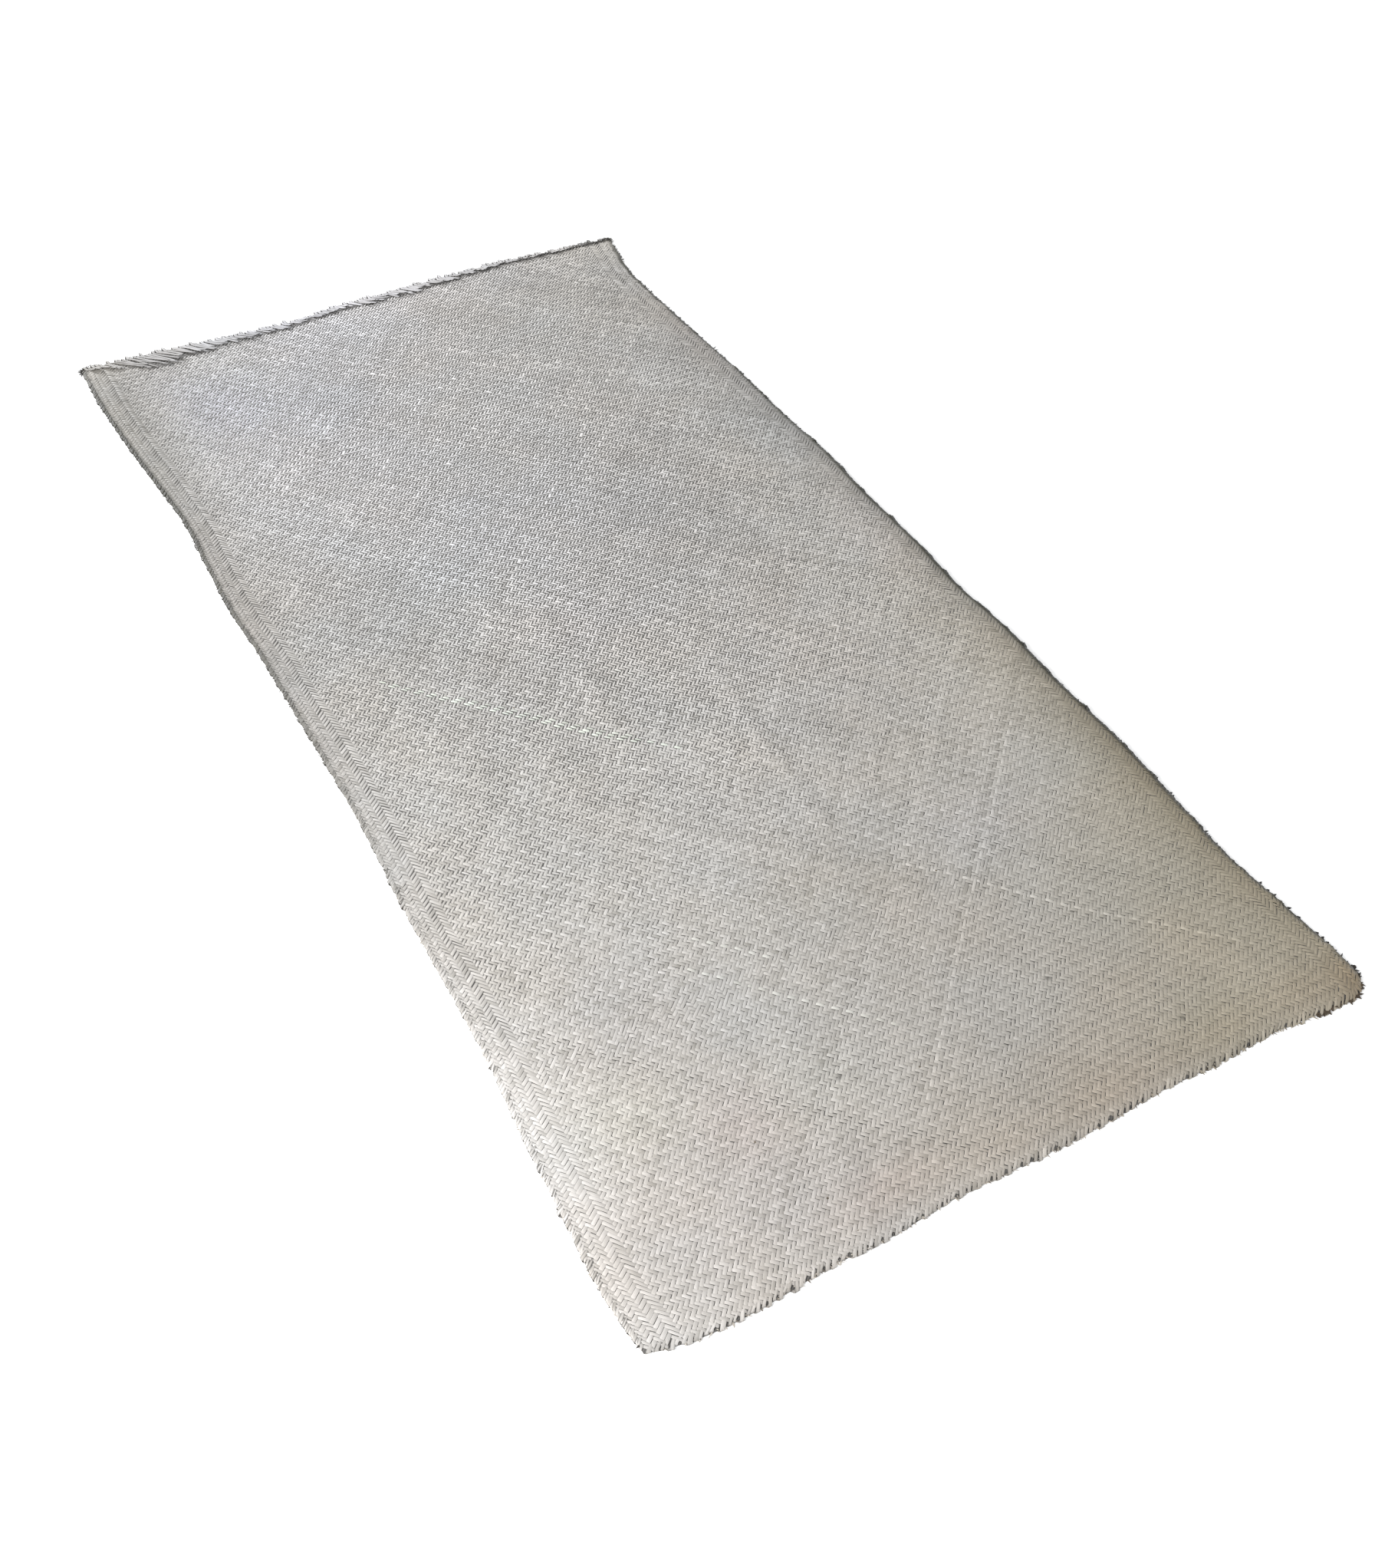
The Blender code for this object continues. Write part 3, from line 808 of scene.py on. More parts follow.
def weave_arrays(rises, strands):
    """Points, values and middle rows of all stretches of one set of strands."""
    m0, n0, length = find_floats(rises)
    kept = from_round_edge(m0 * WIDTH / ACROSS, n0 * LENGTH / ALONG) > KEPT_FROM_EDGE
    m0, n0, length = m0[kept], n0[kept], length[kept]
    sign = 1 if rises else -1
    number = (n0 - sign * m0) // 2
    strand = number + ACROSS // 2 if rises else number
    count = len(m0)
    gain_tone, gain_green, gain_height = marked(rises, number, m0)

    along = np.tile((-0.5 - TUCK, -0.5 + SHOULDER, -0.5 - SHOULDER, -0.5 + TUCK), (count, 1))
    along[:, 2:] += length[:, None]
    along[:, 1:3] += chance.normal(0, SHOULDER_VARIES, (count, 2))
    half = np.array((TUCK_HALF_WIDTH, HALF_WIDTH, HALF_WIDTH, TUCK_HALF_WIDTH))
    half = half * strands.width[strand][:, None]
    half = half * (1 + chance.normal(0, WIDTH_VARIES, (count, 1)))
    high = np.array((TUCK_HEIGHT, CROWN_HEIGHT, CROWN_HEIGHT, TUCK_HEIGHT))
    high = high + strands.height[strand][:, None] + chance.normal(0, HEIGHT_VARIES, (count, 4))
    high[:, 1:3] += gain_height[:, None]
    drop = np.array((TUCK_EDGE_DROP, EDGE_DROP, EDGE_DROP, TUCK_EDGE_DROP))

    p = along[:, :, None] + 0 * LANES
    q = half[:, :, None] * LANES + chance.normal(0, WIDTH_VARIES, (count, 1, 1))
    m = deep(m0) + sign * (p - q)
    n = deep(n0) + p + q
    from_left, from_near = wander(m * WIDTH / ACROSS, n * LENGTH / ALONG)
    from_left = np.clip(from_left, 0, WIDTH)
    from_near = np.clip(from_near, 0, LENGTH)
    crease, crest_light = creased(from_left, from_near)
    height = high[:, :, None] - drop[:, None] * LANES**2 + crease + bumps(from_left, from_near)
    points = on_sheet(from_left.ravel(), from_near.ravel(), height.ravel())

    cell = WIDTH / ACROSS * math.sqrt(2)
    travelled = deep((n0 + m0 * sign) * 0.5) + p
    fibre = fibre_places(travelled * cell, q * cell, deep(strands.place[strand]))
    reached = (n0 + sign * m0) * cell / 2
    gaps = gap_strength(m0 / ACROSS, n0 * LENGTH / ALONG)
    uneven = RISING_UNEVEN if rises else FALLING_UNEVEN
    tone = strands.tone_at(strand, reached)
    tone += chance.normal(0, uneven, count) / np.maximum(gaps, EVEN_FROM)
    tone = tone * np.clip(gaps / CALM_FROM, CALMEST, 1) + gain_tone
    # The two sets differ by a little painted sheen.
    tone += TONE + TONE_APART * sign

    # Dirt and painted shade where each stretch tucks under its neighbours and beside its edges
    tucked = np.array((TUCK_DIRT_AND_SHADE, SHOULDER_DIRT_AND_SHADE, SHOULDER_DIRT_AND_SHADE, TUCK_DIRT_AND_SHADE))[None, :, None]
    edge = (EDGE_DIRT_AND_SHADE if rises else FLAT_EDGE_DIRT_AND_SHADE) + chance.normal(0, EDGE_DIRT_AND_SHADE_VARIES, count)
    edge += strands.gap_at(strand, reached)
    more = deep(gaps) - 1
    dirt_and_shade = np.maximum(tucked * (1 + TUCK_SHARE * more), deep(edge * gaps) * LANES**2)
    in_border = np.minimum(m0, ACROSS - m0) < FAINTER_BORDER
    dirt_and_shade = np.where(deep(in_border), dirt_and_shade * BORDER_DIRT_AND_SHADE, dirt_and_shade)
    gaps = np.where(in_border, 1 + BORDER_PALER * (gaps - 1), gaps)

    # From here the colour factors carry stains and painted light and shade.
    stain_light_and_shade = stain_light_and_shade_at(points) * crest_light.ravel()[:, None]
    dirt_and_shade = dirt_and_shade.ravel() * np.minimum(stain_light_and_shade.mean(axis=1) / DARK_STAIN_AND_SHADE, 1)
    # Painted light: crowns paler where the gaps' painted shade is stronger, and duller where it is
    # weaker
    crown_light = 1 + np.where(gaps > 1, PALER, DULLER) * (gaps - 1) + MARK_PALER * gain_tone
    stain_light_and_shade *= np.repeat(crown_light, STRETCH_POINTS)[:, None]
    stain_light_and_shade[:, 1] *= 1 + np.repeat(gain_green, STRETCH_POINTS)
    # Painted shadow of the turned-back ends on the plaiting under them
    covered = LENGTH - from_near < covered_depth(from_left, LENGTH - from_near)
    stain_light_and_shade *= np.where(covered, through(UNDER_ENDS, from_left), 1).ravel()[:, None]
    return points, fibre.reshape(-1, 3), np.repeat(tone, STRETCH_POINTS), dirt_and_shade, stain_light_and_shade, n0 + length / 2


def add_weave():
    """The woven face, in zones along the mat."""
    rising = Strands(ACROSS + ALONG)
    falling = Strands(ACROSS + ALONG)
    sets = [weave_arrays(True, rising), weave_arrays(False, falling)]
    material = strand_material("rattan_strand", STRAND_CREVICE)
    pieces = []
    for zone in range(ZONES):
        chosen = []
        for *arrays, middle in sets:
            here = np.clip((middle * ZONES / (ALONG + 1)).astype(int), 0, ZONES - 1) == zone
            here = np.repeat(here, STRETCH_POINTS)
            chosen.append([array[here] for array in arrays])
        points, *rest = (np.concatenate(part) for part in zip(*chosen))
        values = dict(zip(("fibre", "tone", "dirt_and_shade", "stain_light_and_shade"), rest))
        quads = ribbon_quads(len(points) // STRETCH_POINTS, 4, len(LANES))
        name = f"weave_{zone + 1}"
        piece = mesh_piece(name, points, quads, material, values)
        add_map(piece, points)
        pieces.append(piece)
    return pieces


def add_core():
    """The closed thin sheet that the strands stand on."""
    wide, tall = WIDTH - CORE_INSET, LENGTH - CORE_INSET
    flat = WIDTH - CORE_FINE_SIDE
    columns = (np.linspace(0, flat, CORE_COLUMNS, endpoint=False), np.linspace(flat, WIDTH, CORE_FINE))
    columns = np.clip(np.concatenate(columns), CORE_INSET, wide)
    rows = (
        np.linspace(CORE_INSET, CORE_FINE_NEAR, CORE_FINE_ROWS, endpoint=False),
        np.linspace(CORE_FINE_NEAR, tall, CORE_ROWS),
    )
    from_left, from_near = np.meshgrid(columns, np.concatenate(rows))
    # The grid's near rows follow the round corner.
    from_near = from_near + rounded_corner(WIDTH - from_left) * fall_off(from_near, CORE_CORNER)
    low = on_sheet(from_left, from_near, np.full(from_near.shape, CORE_LOW))
    high = on_sheet(from_left, from_near, np.full(from_near.shape, CORE_HEIGHT))
    low[..., 2] = np.maximum(low[..., 2], CORE_LOW / 2)
    high[..., 2] = np.maximum(high[..., 2], CORE_LEAST)
    shape = from_near.shape
    total = from_near.size
    index = np.arange(total).reshape(shape)
    top = grid_quads(*shape)
    rim = np.concatenate((index[0, :-1], index[:-1, -1], index[-1, :0:-1], index[:0:-1, 0]))
    after = np.roll(rim, -1)
    sides = np.stack((rim, after, after + total, rim + total), axis=-1)
    points = np.concatenate((low.reshape(-1, 3), high.reshape(-1, 3)))
    quads = np.concatenate((top[:, ::-1], top + total, sides))
    lattice = (from_left * ACROSS / WIDTH, from_near * ALONG / LENGTH, 0 * from_near)
    lattice = np.tile(np.stack(lattice, axis=-1).reshape(-1, 3), (2, 1))
    # Marks the top face, which is painted as shade
    above = np.repeat((0.0, 1.0), total)
    values = {"lattice": lattice, "above": above}
    piece = mesh_piece("core", points, quads, core_material(), values)
    add_map(piece, points, above)
    return piece


# The outline, as distances along it: left side from far to near, near side, round corner,
# right side from near to far, and far side from right to left

LEFT_STOP = LENGTH
NEAR_STOP = LEFT_STOP + WIDTH - CORNER_RADIUS
CORNER_STOP = NEAR_STOP + CORNER_RADIUS * math.pi / 2
RIGHT_STOP = CORNER_STOP + LENGTH - CORNER_RADIUS
FAR_STOP = RIGHT_STOP + WIDTH
# How far from the outline the sheet's direction is taken, and the lowest that points lie
EDGE_MARGIN = 0.002
LOWEST = 0.0001


def outline(along):
    """Places on the flat sheet's outline, and the directions inward from them."""
    sides = [along < LEFT_STOP, along < NEAR_STOP, along < CORNER_STOP, along < RIGHT_STOP]
    none = np.zeros_like(along)
    angle = (along - NEAR_STOP) / CORNER_RADIUS
    round_left = WIDTH - CORNER_RADIUS * (1 - np.sin(angle))
    round_near = CORNER_RADIUS * (1 - np.cos(angle))
    right_near = CORNER_RADIUS + along - CORNER_STOP
    from_left = np.select(
        sides, [none, along - LEFT_STOP, round_left, none + WIDTH], FAR_STOP - along
    )
    from_near = np.select(sides, [LENGTH - along, none, round_near, right_near], LENGTH)
    in_x = np.select(sides, [none + 1, none, -np.sin(angle), none - 1], 0.0)
    in_y = np.select(sides, [none, none + 1, np.cos(angle), none], -1.0)
    return from_left, from_near, in_x, in_y


def by_edge(along, inward, height):
    """Points at distances in from the outline, or a little outside it, and at heights."""
    shape = along.shape
    along, inward, height = along.ravel(), inward.ravel(), height.ravel()
    from_left, from_near, in_x, in_y = outline(along)
    inner = np.maximum(inward, 0)
    seen_left = np.clip(from_left + in_x * inner, 0, WIDTH)
    seen_near = np.clip(from_near + in_y * inner, 0, LENGTH)
    safe_left = np.clip(seen_left, EDGE_MARGIN, WIDTH - EDGE_MARGIN)
    safe_near = np.clip(seen_near, EDGE_MARGIN, LENGTH - EDGE_MARGIN)
    base = underside(seen_left, seen_near)
    deeper = underside(seen_left + EDGE_MARGIN * in_x, seen_near + EDGE_MARGIN * in_y)
    outward = base - deeper
    outward /= np.linalg.norm(outward, axis=-1, keepdims=True)
    points = base + np.maximum(-inward, 0)[:, None] * outward
    points += height[:, None] * upward(safe_left, safe_near)
    points[:, 2] = np.maximum(points[:, 2], LOWEST)
    return points.reshape(*shape, 3)


def ribbon_piece(name, groups, material):
    """One mesh from groups of ribbons, each with its points and its values by point."""
    values = {"fibre": [], "tone": [], "dirt_and_shade": [], "stain_light_and_shade": []}
    points, quads = [], []
    start = 0
    for place, fibre, tone, dirt_and_shade, colour in groups:
        points.append(place.reshape(-1, 3))
        values["fibre"].append(fibre.reshape(-1, 3))
        values["tone"].append(np.broadcast_to(tone, place.shape[:3]).ravel())
        values["dirt_and_shade"].append(np.broadcast_to(dirt_and_shade, place.shape[:3]).ravel())
        values["stain_light_and_shade"].append(stain_light_and_shade_at(points[-1]) * np.array(colour))
        quads.append(ribbon_quads(*place.shape[:3]) + start)
        start += len(points[-1])
    values = {key: np.concatenate(arrays) for key, arrays in values.items()}
    return mesh_piece(name, np.concatenate(points), np.concatenate(quads), material, values)


def fibre_places(travelled, across, strand):
    """Places in the material's fibres, from arrays that broadcast together."""
    arrays = np.broadcast_arrays(travelled, across, strand)
    return np.stack(arrays, axis=-1)


# Strands folded over the long sides and the near edge

# A strand's way over the edge: distance in from the edge, height and distance along it, how much of the
# raggedness and of the rim's dirt and painted shade it has, and dirt and painted shade
FOLD_PATH = (
    (0.0085, 0.002, 0.0085, 0.0, 0.0, 0.8), (0.0042, 0.00285, 0.0042, 0.3, 0.6, 0.2),
    (0.0012, 0.00275, 0.0012, 1.0, 0.9, 0.3), (-0.0006, 0.0016, 0.0, 1.0, 1.1, 0.74),
    (0.0008, 0.00035, -0.001, 1.0, 1.1, 0.85), (0.0065, 0.00015, -0.0065, 0.0, 1.1, 0.9),
)
FOLD_PITCH = 0.0060
# Where the first fold lies on a long side and on the near one, and how far off the last stays
FOLD_START = 0.006
NEAR_START = 0.005
FOLD_SHORT = 0.004
FOLD_HALF_WIDTH = 0.00265
FOLD_CROWN = 0.0005
# How much dirt and painted shade the left rim has, by distance from the far corner
LEFT_RIM = (
    (0.0, 1.05), (0.8, 0.95), (1.1, 0.55), (1.8, 0.32),
)
# The same for the near rim, and for the right one, whose dark outline is painted shade
NEAR_RIM = 0.32
RIGHT_RIM = 1.25
LEFT_RAGGED = 0.0008
NEAR_RAGGED = 0.0013
RIGHT_RAGGED = 0.0018
NEAR_GAP_DIRT_AND_SHADE = 0.62
# How much folded strands vary: in width, place, height, dirt and painted shade in their gaps and at the
# rim
FOLD_NARROWER = 0.18
FOLD_SHIFT = 0.0009
FOLD_LIFT = 0.00016
FOLD_DIRT_AND_SHADE_VARIES = 0.20
RIM_VARIES = 0.16
FOLD_TONE = 0.50
FOLD_TONE_VARIES = 0.20
# How far apart ribbons lie in the fibres, by their distance along the edge
FIBRES_ALONG = 800


def fold_arrays(centres, slants, gap_dirt_and_shade, ragged_by, rim_dirt_and_shade):
    """Strands that fold over the edge at places along the outline."""
    inward, height, over, ragged, rim, dirt_and_shade = np.array(FOLD_PATH).T[:, None, :, None]
    each = (len(centres), 1, 1)
    reach = chance.normal(0, ragged_by, each)
    half = FOLD_HALF_WIDTH * (1 - np.abs(chance.normal(0, FOLD_NARROWER, each)))
    centre = deep(centres) + chance.normal(0, FOLD_SHIFT, each)
    along = centre + deep(slants + 0 * centres) * over + half * LANES
    height = height + FOLD_CROWN * (0.5 - LANES**2) + chance.normal(0, FOLD_LIFT, each)
    place = by_edge(along, inward + ragged * reach + 0 * along, height + 0 * along)
    fibre = fibre_places(over, half * LANES, centre * FIBRES_ALONG)
    # Dirt and painted shade in the gaps between folds and on their outer faces at the rim
    edge_dirt_and_shade = gap_dirt_and_shade + chance.normal(0, FOLD_DIRT_AND_SHADE_VARIES, each)
    dirt_and_shade = np.maximum(dirt_and_shade * gap_dirt_and_shade, edge_dirt_and_shade * np.abs(LANES))
    rim_darkening = deep(rim_dirt_and_shade + 0 * centres) + chance.normal(0, RIM_VARIES, each)
    tone = FOLD_TONE + chance.normal(0, FOLD_TONE_VARIES, each)
    return place, fibre, tone, np.maximum(dirt_and_shade, rim * rim_darkening), (1.0, 1.0, 1.0)


# Broken fibres that stand out of the edges

# Places along a fibre and its width there, then where it starts and its crown and colour
FRAY_STATIONS = ((0.0, 1.0), (0.6, 0.75), (1.0, 0.15))
FRAY_ROOT = 0.0012
FRAY_LOW = 0.0014
FRAY_CROWN = 0.4
FRAY_TONE = 0.35
FRAY_DIRT = 0.35
FRAY_TIP_DIRT = 0.3
# The least share of the longest, highest and widest, and how lengths and slants spread
FRAY_SHORTEST = 0.15
FRAY_LOWEST = 0.35
FRAY_THINNEST = 0.4
FRAY_LENGTH_POWER = 1.5
FRAY_SLANT = 0.8
PALE_FRAY = (1.10, 1.06, 1.00)
# The dark and brown frays are darker than the rattan, partly as painted shade along the outlines.
DARK_FRAY = (0.20, 0.185, 0.16)
BROWN_FRAY = (0.20, 0.155, 0.11)
DULL_FRAY = (0.34, 0.30, 0.26)
# Where along the outline they start and stop, how many, the longest, how far in and how high
# they may stand, half the widest, and colour
FRAYS = (
    (0.02, LEFT_STOP - 0.8, 240, 0.0042, 0.0012, 0.0034, 0.0013, DARK_FRAY),
    (1.0, LEFT_STOP - 0.02, 140, 0.0028, 0.001, 0.0026, 0.0008, DARK_FRAY),
    (0.9, LEFT_STOP - 0.02, 110, 0.0032, 0.0012, 0.003, 0.0012, PALE_FRAY),
    (LEFT_STOP + 0.01, NEAR_STOP, 190, 0.005, 0.002, 0.0032, 0.0013, PALE_FRAY),
    (LEFT_STOP + 0.01, NEAR_STOP, 110, 0.0036, 0.0012, 0.003, 0.0009, DULL_FRAY),
    (NEAR_STOP - 0.05, CORNER_STOP, 60, 0.0064, 0.002, 0.0056, 0.0026, BROWN_FRAY),
    (CORNER_STOP, CORNER_STOP + 0.6, 90, 0.004, 0.0022, 0.0052, 0.0034, BROWN_FRAY),
    (CORNER_STOP, CORNER_STOP + 0.6, 36, 0.0044, 0.0022, 0.0064, 0.003, BROWN_FRAY),
    (CORNER_STOP + 0.5, RIGHT_STOP - 0.3, 170, 0.0036, 0.002, 0.0046, 0.003, DARK_FRAY),
    (CORNER_STOP + 0.5, RIGHT_STOP - 0.3, 50, 0.004, 0.002, 0.0058, 0.0028, DARK_FRAY),
    (RIGHT_STOP - 0.4, RIGHT_STOP - 0.01, 100, 0.0046, 0.0016, 0.0048, 0.0017, DARK_FRAY),
)
# Single long ones: how far in and how high they stand, half their width, and for each its
# distance along the outline, length, and slant to the right
SPIKE_IN = 0.002
SPIKE_HEIGHT = 0.0060
SPIKE_HALF = 0.0012
SPIKES = (
    (CORNER_STOP + 1.38, 0.011, 0.9), (CORNER_STOP + 1.376, 0.007, 0.3),
    (CORNER_STOP + 0.33, 0.007, -0.6), (CORNER_STOP + 0.9, 0.006, 0.5),
    (CORNER_STOP + 0.012, 0.007, 0.7), (NEAR_STOP + 0.03, 0.006, -0.5), (LEFT_STOP + 0.47, 0.006, -0.8),
    (LEFT_STOP + 0.24, 0.005, 0.6), (LEFT_STOP - 0.01, 0.006, 0.8), (RIGHT_STOP + 0.06, 0.009, -1.6),
    (1.15, 0.004, 0.5), (0.64, 0.005, -0.4),
)


def fray_arrays(along, length, slant, start, height, half, colour):
    """Thin pointed fibres that leave the sheet a little in from its outline."""
    measures = (along, length, slant, start, height, half)
    along, length, slant, start, height, half = (deep(values) for values in measures)
    run, taper = np.array(FRAY_STATIONS).T[:, None, :, None]
    width = taper * half
    inward = start + FRAY_ROOT - (length + FRAY_ROOT) * run + 0 * LANES
    places = along + slant * length * run + width * LANES
    heights = FRAY_LOW + (height - FRAY_LOW) * run + FRAY_CROWN * width * (1 - LANES**2)
    place = by_edge(places, inward + 0 * places, heights + 0 * places)
    fibre = fibre_places(length * run, width * LANES, along * FIBRES_ALONG)
    return place, fibre, FRAY_TONE, FRAY_DIRT + FRAY_TIP_DIRT * run + 0 * LANES, colour


def add_edges():
    """Everything along the two long sides and the near edge."""
    left = np.arange(FOLD_START, LEFT_STOP - FOLD_SHORT, FOLD_PITCH)
    near = np.arange(LEFT_STOP + NEAR_START, CORNER_STOP, FOLD_PITCH)
    right = np.arange(CORNER_STOP, RIGHT_STOP - FOLD_SHORT, FOLD_PITCH)
    turn = np.clip((near - NEAR_STOP) / CORNER_RADIUS, 0, np.pi / 2)
    groups = [
        fold_arrays(left, -1.0, 1.0, LEFT_RAGGED, through(LEFT_RIM, left)),
        fold_arrays(near, np.cos(2 * turn), NEAR_GAP_DIRT_AND_SHADE, NEAR_RAGGED, NEAR_RIM),
        fold_arrays(right, -1.0, 1.0, RIGHT_RAGGED, RIGHT_RIM),
    ]
    for start, stop, count, longest, furthest_in, highest, widest, colour in FRAYS:
        along = chance.uniform(start, stop, count)
        length = longest * chance.uniform(FRAY_SHORTEST, 1.0, count) ** FRAY_LENGTH_POWER
        slant = chance.normal(0, FRAY_SLANT, count)
        inward = chance.uniform(0.0, furthest_in, count)
        height = highest * chance.uniform(FRAY_LOWEST, 1.0, count)
        half = widest * chance.uniform(FRAY_THINNEST, 1.0, count)
        groups.append(fray_arrays(along, length, slant, inward, height, half, colour))
    along, length, slant = np.array(SPIKES).T
    level = np.ones(len(along))
    spikes = (along, length, slant, SPIKE_IN * level, SPIKE_HEIGHT * level, SPIKE_HALF * level)
    groups.append(fray_arrays(*spikes, DARK_FRAY))
    material = strand_material("rattan_fold", FOLD_CREVICE)
    return ribbon_piece("folded_edges", groups, material)


# Strand ends turned back over the far edge

END_PITCH = 0.0058
END_FIRST = 0.005
END_LAST = 0.004
END_LANES = (-1.0, -0.8, 0.0, 0.8, 1.0)
END_DROPS = (0.0011, 0.00025, 0.0, 0.00025, 0.0011)
# A strand's way round the far edge: distance in from it, height, and distance to the right
END_TURN = (
    (0.006, 0.0002, -0.006), (0.001, 0.0006, -0.001), (-0.001, 0.002, 0.0), (0.0006, 0.0036, 0.0008),
)
END_RUN = 6
END_HALF_WIDTH = 0.0028
# The comb of narrower ends by the far left corner: where, how far it spreads, how much thinner
COMB_AT = 0.075
COMB_SPREAD = 0.040
COMB_THINNER = 0.34
# How much longer the ends are near the same corner, where, and how far that spreads
COMB_LONGER = 0.010
LONGEST_AT = 0.052
LONGEST_SPREAD = 0.022
# How the ends' lengths clump: how much, turns by the place, phase, and share of the length
CLUMPS = ((0.30, 88, 0.0), (0.22, 231, 1.0))
CLUMP_SHARE = 0.6
# From where to where along the edge the ends darken
DARK_FROM = 0.76
DARK_TO = 0.86
# The ends' turn to the side by their places, and how high they stand, a few of them higher
VEER_MOST = 0.16
VEER_TURN = 300
VEER_VARIES = 0.10
END_LIFT = 0.0008
END_LIFT_MORE = 0.0034
LOOSE_SHARE = 0.06
LOOSE_LIFT = 0.0025
END_TOP_VARIES = 0.0002
# Their loops past the edge: how many have one, the least, how far out and up they go, and
# the share of that and the width at each place of the turn
LOOP_SHARE = 0.88
LOOP_LEAST = 0.4
LOOP_OUT = 0.0056
LOOP_UP = 0.0022
LOOP_OUT_SHARES = (0.0, 0.2, 1.0, 0.5)
LOOP_UP_SHARES = (0.0, 0.0, 1.0, 1.0)
LOOP_WIDTH = (1.0, 0.75, 0.45, 0.8)
END_TIP_WIDTH = 0.72
END_THIN = 0.10
END_LENGTHS = (0.90, 1.04)
END_LENGTH_VARIES = 0.16
END_SHORTEST = 0.004
END_START = 0.003
END_DIP = 0.0004
SWAY_MOST = 0.0012
SWAY_ALONG = 3
SWAY_BY_ROOT = 50
END_SLIDE = 0.0007
END_KEPT_IN = 0.0005
END_FIBRE_WIDTH = 0.7
END_TONE = 0.58
END_TONE_VARIES = 0.13
END_TOP = 0.0043
END_STEP = 0.00045
END_SLACK = 0.0014
END_SHADE = 0.0014
# Dirt and painted shade beside each end's edges, at its turn and under its tip
END_DIRT_AND_SHADE = (0.98, 0.40, 0.10, 0.40, 0.98)
END_TURN_DIRT_AND_SHADE = 0.95
END_TIP_DIRT_AND_SHADE = 0.72
# How much less dirt and painted shade the tips have by the left corner, and how far along the edge
CORNER_TIPS_PALER = 0.45
CORNER_REACH = 0.075
END_COLOUR = (0.95, 0.96, 0.99)


def mean_end(roots):
    """How far in the ends lie that turn back at places along the far edge."""
    clump = np.ones_like(roots)
    for most, turns, phase in CLUMPS:
        clump = clump + most * np.sin(roots * turns + phase)
    longer = COMB_LONGER * np.exp(-(((roots - LONGEST_AT) / LONGEST_SPREAD) ** 2))
    ends = through(TURNED_BACK, roots, 1) + CLUMP_SHARE * clump * through(TURNED_BACK, roots, 2)
    return ends + longer


def covered_depth(from_left, from_far):
    """How far in from the far edge the plaiting lies in the ends' shade."""
    return mean_end(np.clip(from_left - from_far, 0, WIDTH)) + END_SHADE


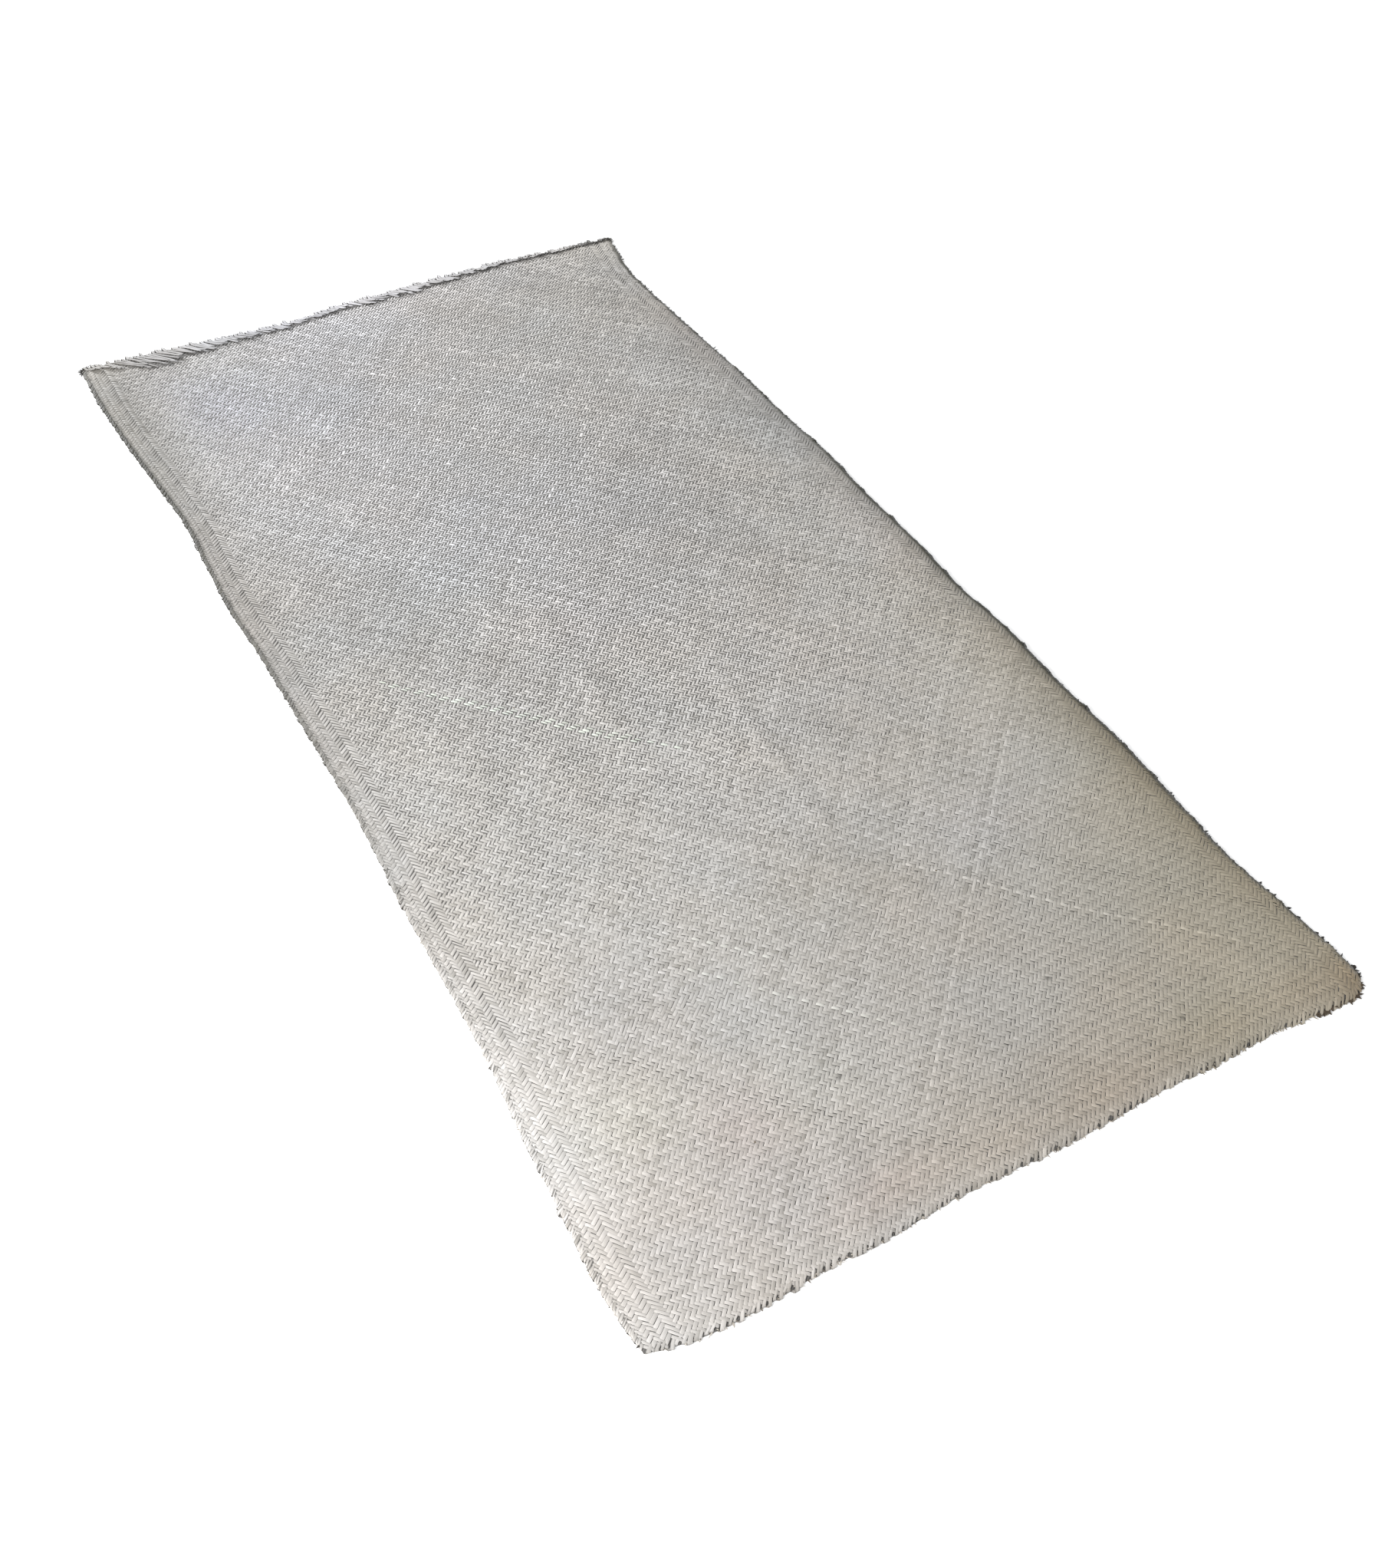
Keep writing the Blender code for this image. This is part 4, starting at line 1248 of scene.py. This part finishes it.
def end_arrays():
    """The strand ends, which lie on the mat and point down to the right."""
    roots = np.arange(END_FIRST, WIDTH - END_LAST, END_PITCH)
    count = len(roots)
    length = mean_end(roots) * chance.uniform(*END_LENGTHS, count)
    length += through(TURNED_BACK, roots, 2) * chance.normal(0, END_LENGTH_VARIES, count)
    length = np.maximum(length, END_SHORTEST)
    veer = VEER_MOST * np.sin(roots * VEER_TURN) + chance.normal(0, VEER_VARIES, count)
    lift = END_LIFT + END_LIFT_MORE * chance.random(count) ** 2
    lift[chance.random(count) < LOOSE_SHARE] += LOOSE_LIFT
    top = END_TOP + END_STEP * (np.arange(count) % 3)
    top = top + chance.normal(0, END_TOP_VARIES, count)

    run = np.linspace(0, 1, END_RUN)
    turn = np.array(END_TURN)
    loop = (chance.random(count) < LOOP_SHARE) * chance.uniform(LOOP_LEAST, 1.0, count)
    slack = chance.normal(0, END_SLACK, count) - LOOP_OUT * loop
    out = np.array(LOOP_OUT_SHARES) * slack[:, None]
    rise = np.array(LOOP_UP_SHARES) * (LOOP_UP * loop)[:, None]
    run_in = END_START + (length - END_START)[:, None] * run
    inward = np.concatenate((turn[:, 0] + out, run_in), axis=1)
    run_up = top[:, None] + lift[:, None] * run**2 - END_DIP * (run == 0)
    up = np.concatenate((turn[:, 1] + rise, run_up), axis=1)
    sway = np.sin(run * SWAY_ALONG + roots[:, None] * SWAY_BY_ROOT)
    run_over = run_in * (1 + veer[:, None]) + SWAY_MOST * sway
    over = np.concatenate((np.tile(turn[:, 2], (count, 1)), run_over), axis=1)

    lane = np.array(END_LANES)
    half = END_HALF_WIDTH * (1 - END_THIN * np.abs(chance.normal(0, 1, (count, 1, 1))))
    comb = np.exp(-(((roots - COMB_AT) / COMB_SPREAD) ** 2))
    half = half * (1 - COMB_THINNER * deep(comb))
    taper = np.array((*LOOP_WIDTH, *[1.0] * (END_RUN - 1), END_TIP_WIDTH))[:, None]
    travel = deep(roots) + over[:, :, None] + half * taper * lane
    travel = travel + chance.normal(0, END_SLIDE, (count, 1, 1))
    travel = np.clip(travel, END_KEPT_IN, WIDTH - END_KEPT_IN)
    height = np.maximum(up[:, :, None] - np.array(END_DROPS), LOWEST)
    place = by_edge(FAR_STOP - travel, inward[:, :, None] + 0 * travel, height)
    steps = np.hypot(np.diff(inward, axis=1), np.diff(over, axis=1))
    travelled = np.concatenate((np.zeros((count, 1)), np.cumsum(steps, axis=1)), axis=1)
    beside = half * lane * END_FIBRE_WIDTH
    fibre = fibre_places(travelled[:, :, None], beside, deep(roots) * FIBRES_ALONG)

    dirt_and_shade = np.tile(np.array(END_DIRT_AND_SHADE), (count, len(taper), 1))
    dirt_and_shade[:, :3] = np.maximum(dirt_and_shade[:, :3], END_TURN_DIRT_AND_SHADE)
    tip_dirt_and_shade = END_TIP_DIRT_AND_SHADE - CORNER_TIPS_PALER * fall_off(roots, CORNER_REACH)
    dirt_and_shade[:, -1] = np.maximum(dirt_and_shade[:, -1], tip_dirt_and_shade[:, None])
    dark = 1 - fall_off(roots - DARK_FROM, DARK_TO - DARK_FROM)
    tone = END_TONE + chance.normal(0, END_TONE_VARIES, (count, 1, 1))
    return place, fibre, tone, np.maximum(dirt_and_shade, deep(dark)), END_COLOUR


# Dark tufts at the far corners: distance along the outline, and how many fibres, their
# length, slant to the right, spread and height
TUFTS = (
    (FAR_STOP - 0.004, 26, 0.0085, -0.3, 1.1, 0.0036), (0.004, 20, 0.0075, 0.2, 1.1, 0.0036),
    (RIGHT_STOP + 0.004, 12, 0.0085, -1.2, 0.8, 0.003),
    (RIGHT_STOP - 0.006, 12, 0.0085, 0.6, 0.8, 0.0026),
)
TUFT_COLOUR = (0.13, 0.12, 0.11)
TUFT_SPREAD = 0.0018
TUFT_LENGTHS = (0.5, 1.1)
TUFT_IN = 0.003
TUFT_HEIGHTS = (0.4, 1.4)
TUFT_HALF_WIDTHS = (0.0008, 0.0017)


def add_turned_ends():
    """The turned-back ends, and the tufts at both far corners."""
    groups = [end_arrays()]
    for at, count, longest, lean, spread, highest in TUFTS:
        along = at + chance.normal(0, TUFT_SPREAD, count)
        length = longest * chance.uniform(*TUFT_LENGTHS, count)
        slant = lean + chance.normal(0, spread, count)
        inward = chance.uniform(0.0, TUFT_IN, count)
        height = highest * chance.uniform(*TUFT_HEIGHTS, count)
        half = chance.uniform(*TUFT_HALF_WIDTHS, count)
        groups.append(fray_arrays(along, length, slant, inward, height, half, TUFT_COLOUR))
    material = strand_material("rattan_end", END_CREVICE)
    return ribbon_piece("loose_ends", groups, material)


# Floor, light and camera

FLOOR_SIZE = 14
FLOOR_COLOUR = (0.86, 0.86, 0.86, 1)
FLOOR_PALER = (0.89, 0.89, 0.885, 1)
FLOOR_GLOW = 0.30
SKY_COLOUR = (0.98, 0.99, 1.0, 1)
SKY_LIGHT = 0.66
# Name, place, what it points at, size, power and colour
LIGHTS = (
    ("key", (-2.2, -0.9, 1.7), (-0.1, -0.2, 0), 1.2, 84, (1.0, 0.99, 0.975)),
    ("far_key", (-1.3, 3.4, 1.6), (-0.1, 0.3, 0), 1.5, 80, (0.97, 0.985, 1.0)),
)


def add_floor():
    bpy.ops.mesh.primitive_plane_add(size=FLOOR_SIZE, location=(0, 1, 0))
    floor = bpy.context.object
    floor.name = "floor"
    n = Nodes("pale_floor")
    grain = n.noise(n.node("TexCoord", "Object", {}), 3.0, 3.0)
    n.look(
        {
            "Base Color": n.mix(grain, FLOOR_COLOUR, FLOOR_PALER),
            "Roughness": 0.9,
            "Specular IOR Level": 0.1,
            "Emission Color": (1, 1, 1, 1),
            "Emission Strength": FLOOR_GLOW,
        }
    )
    floor.data.materials.append(n.material)


def add_light(name, place, target, size, power, colour):
    data = bpy.data.lights.new(name, "AREA")
    data.shape = "DISK"
    data.size = size
    data.energy = power
    data.color = colour
    light = bpy.data.objects.new(name, data)
    way = Vector(target) - Vector(place)
    light.location = place
    light.rotation_euler = way.to_track_quat("-Z", "Y").to_euler()
    bpy.context.scene.collection.objects.link(light)


def add_lights():
    world = bpy.data.worlds.new("studio")
    world.use_nodes = True
    background = world.node_tree.nodes["Background"]
    background.inputs["Color"].default_value = SKY_COLOUR
    background.inputs["Strength"].default_value = SKY_LIGHT
    bpy.context.scene.world = world
    for light in LIGHTS:
        add_light(*light)


def add_camera():
    data = bpy.data.cameras.new("camera")
    data.sensor_fit = "VERTICAL"
    data.sensor_height = SENSOR_MM
    data.lens = LENS_MM
    camera = bpy.data.objects.new("camera", data)
    ahead = Vector((math.sin(CAMERA_TURN), math.cos(CAMERA_TURN), 0))
    forward = ahead * math.cos(CAMERA_DOWN) - Vector((0, 0, math.sin(CAMERA_DOWN)))
    level = Vector((math.cos(CAMERA_TURN), -math.sin(CAMERA_TURN), 0))
    upright = level.cross(forward)
    right = level * math.cos(CAMERA_ROLL) + upright * math.sin(CAMERA_ROLL)
    up = upright * math.cos(CAMERA_ROLL) - level * math.sin(CAMERA_ROLL)
    turn = Matrix((right, up, -forward)).transposed()
    camera.matrix_world = Matrix.Translation(CAMERA_PLACE) @ turn.to_4x4()
    bpy.context.scene.collection.objects.link(camera)
    bpy.context.scene.camera = camera


bpy.context.scene.view_settings.view_transform = "Standard"
add_camera()
add_lights()
add_floor()
core = add_core()
weave = add_weave()
edges = add_edges()
ends = add_turned_ends()
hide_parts("mat")
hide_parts("turned_ends")
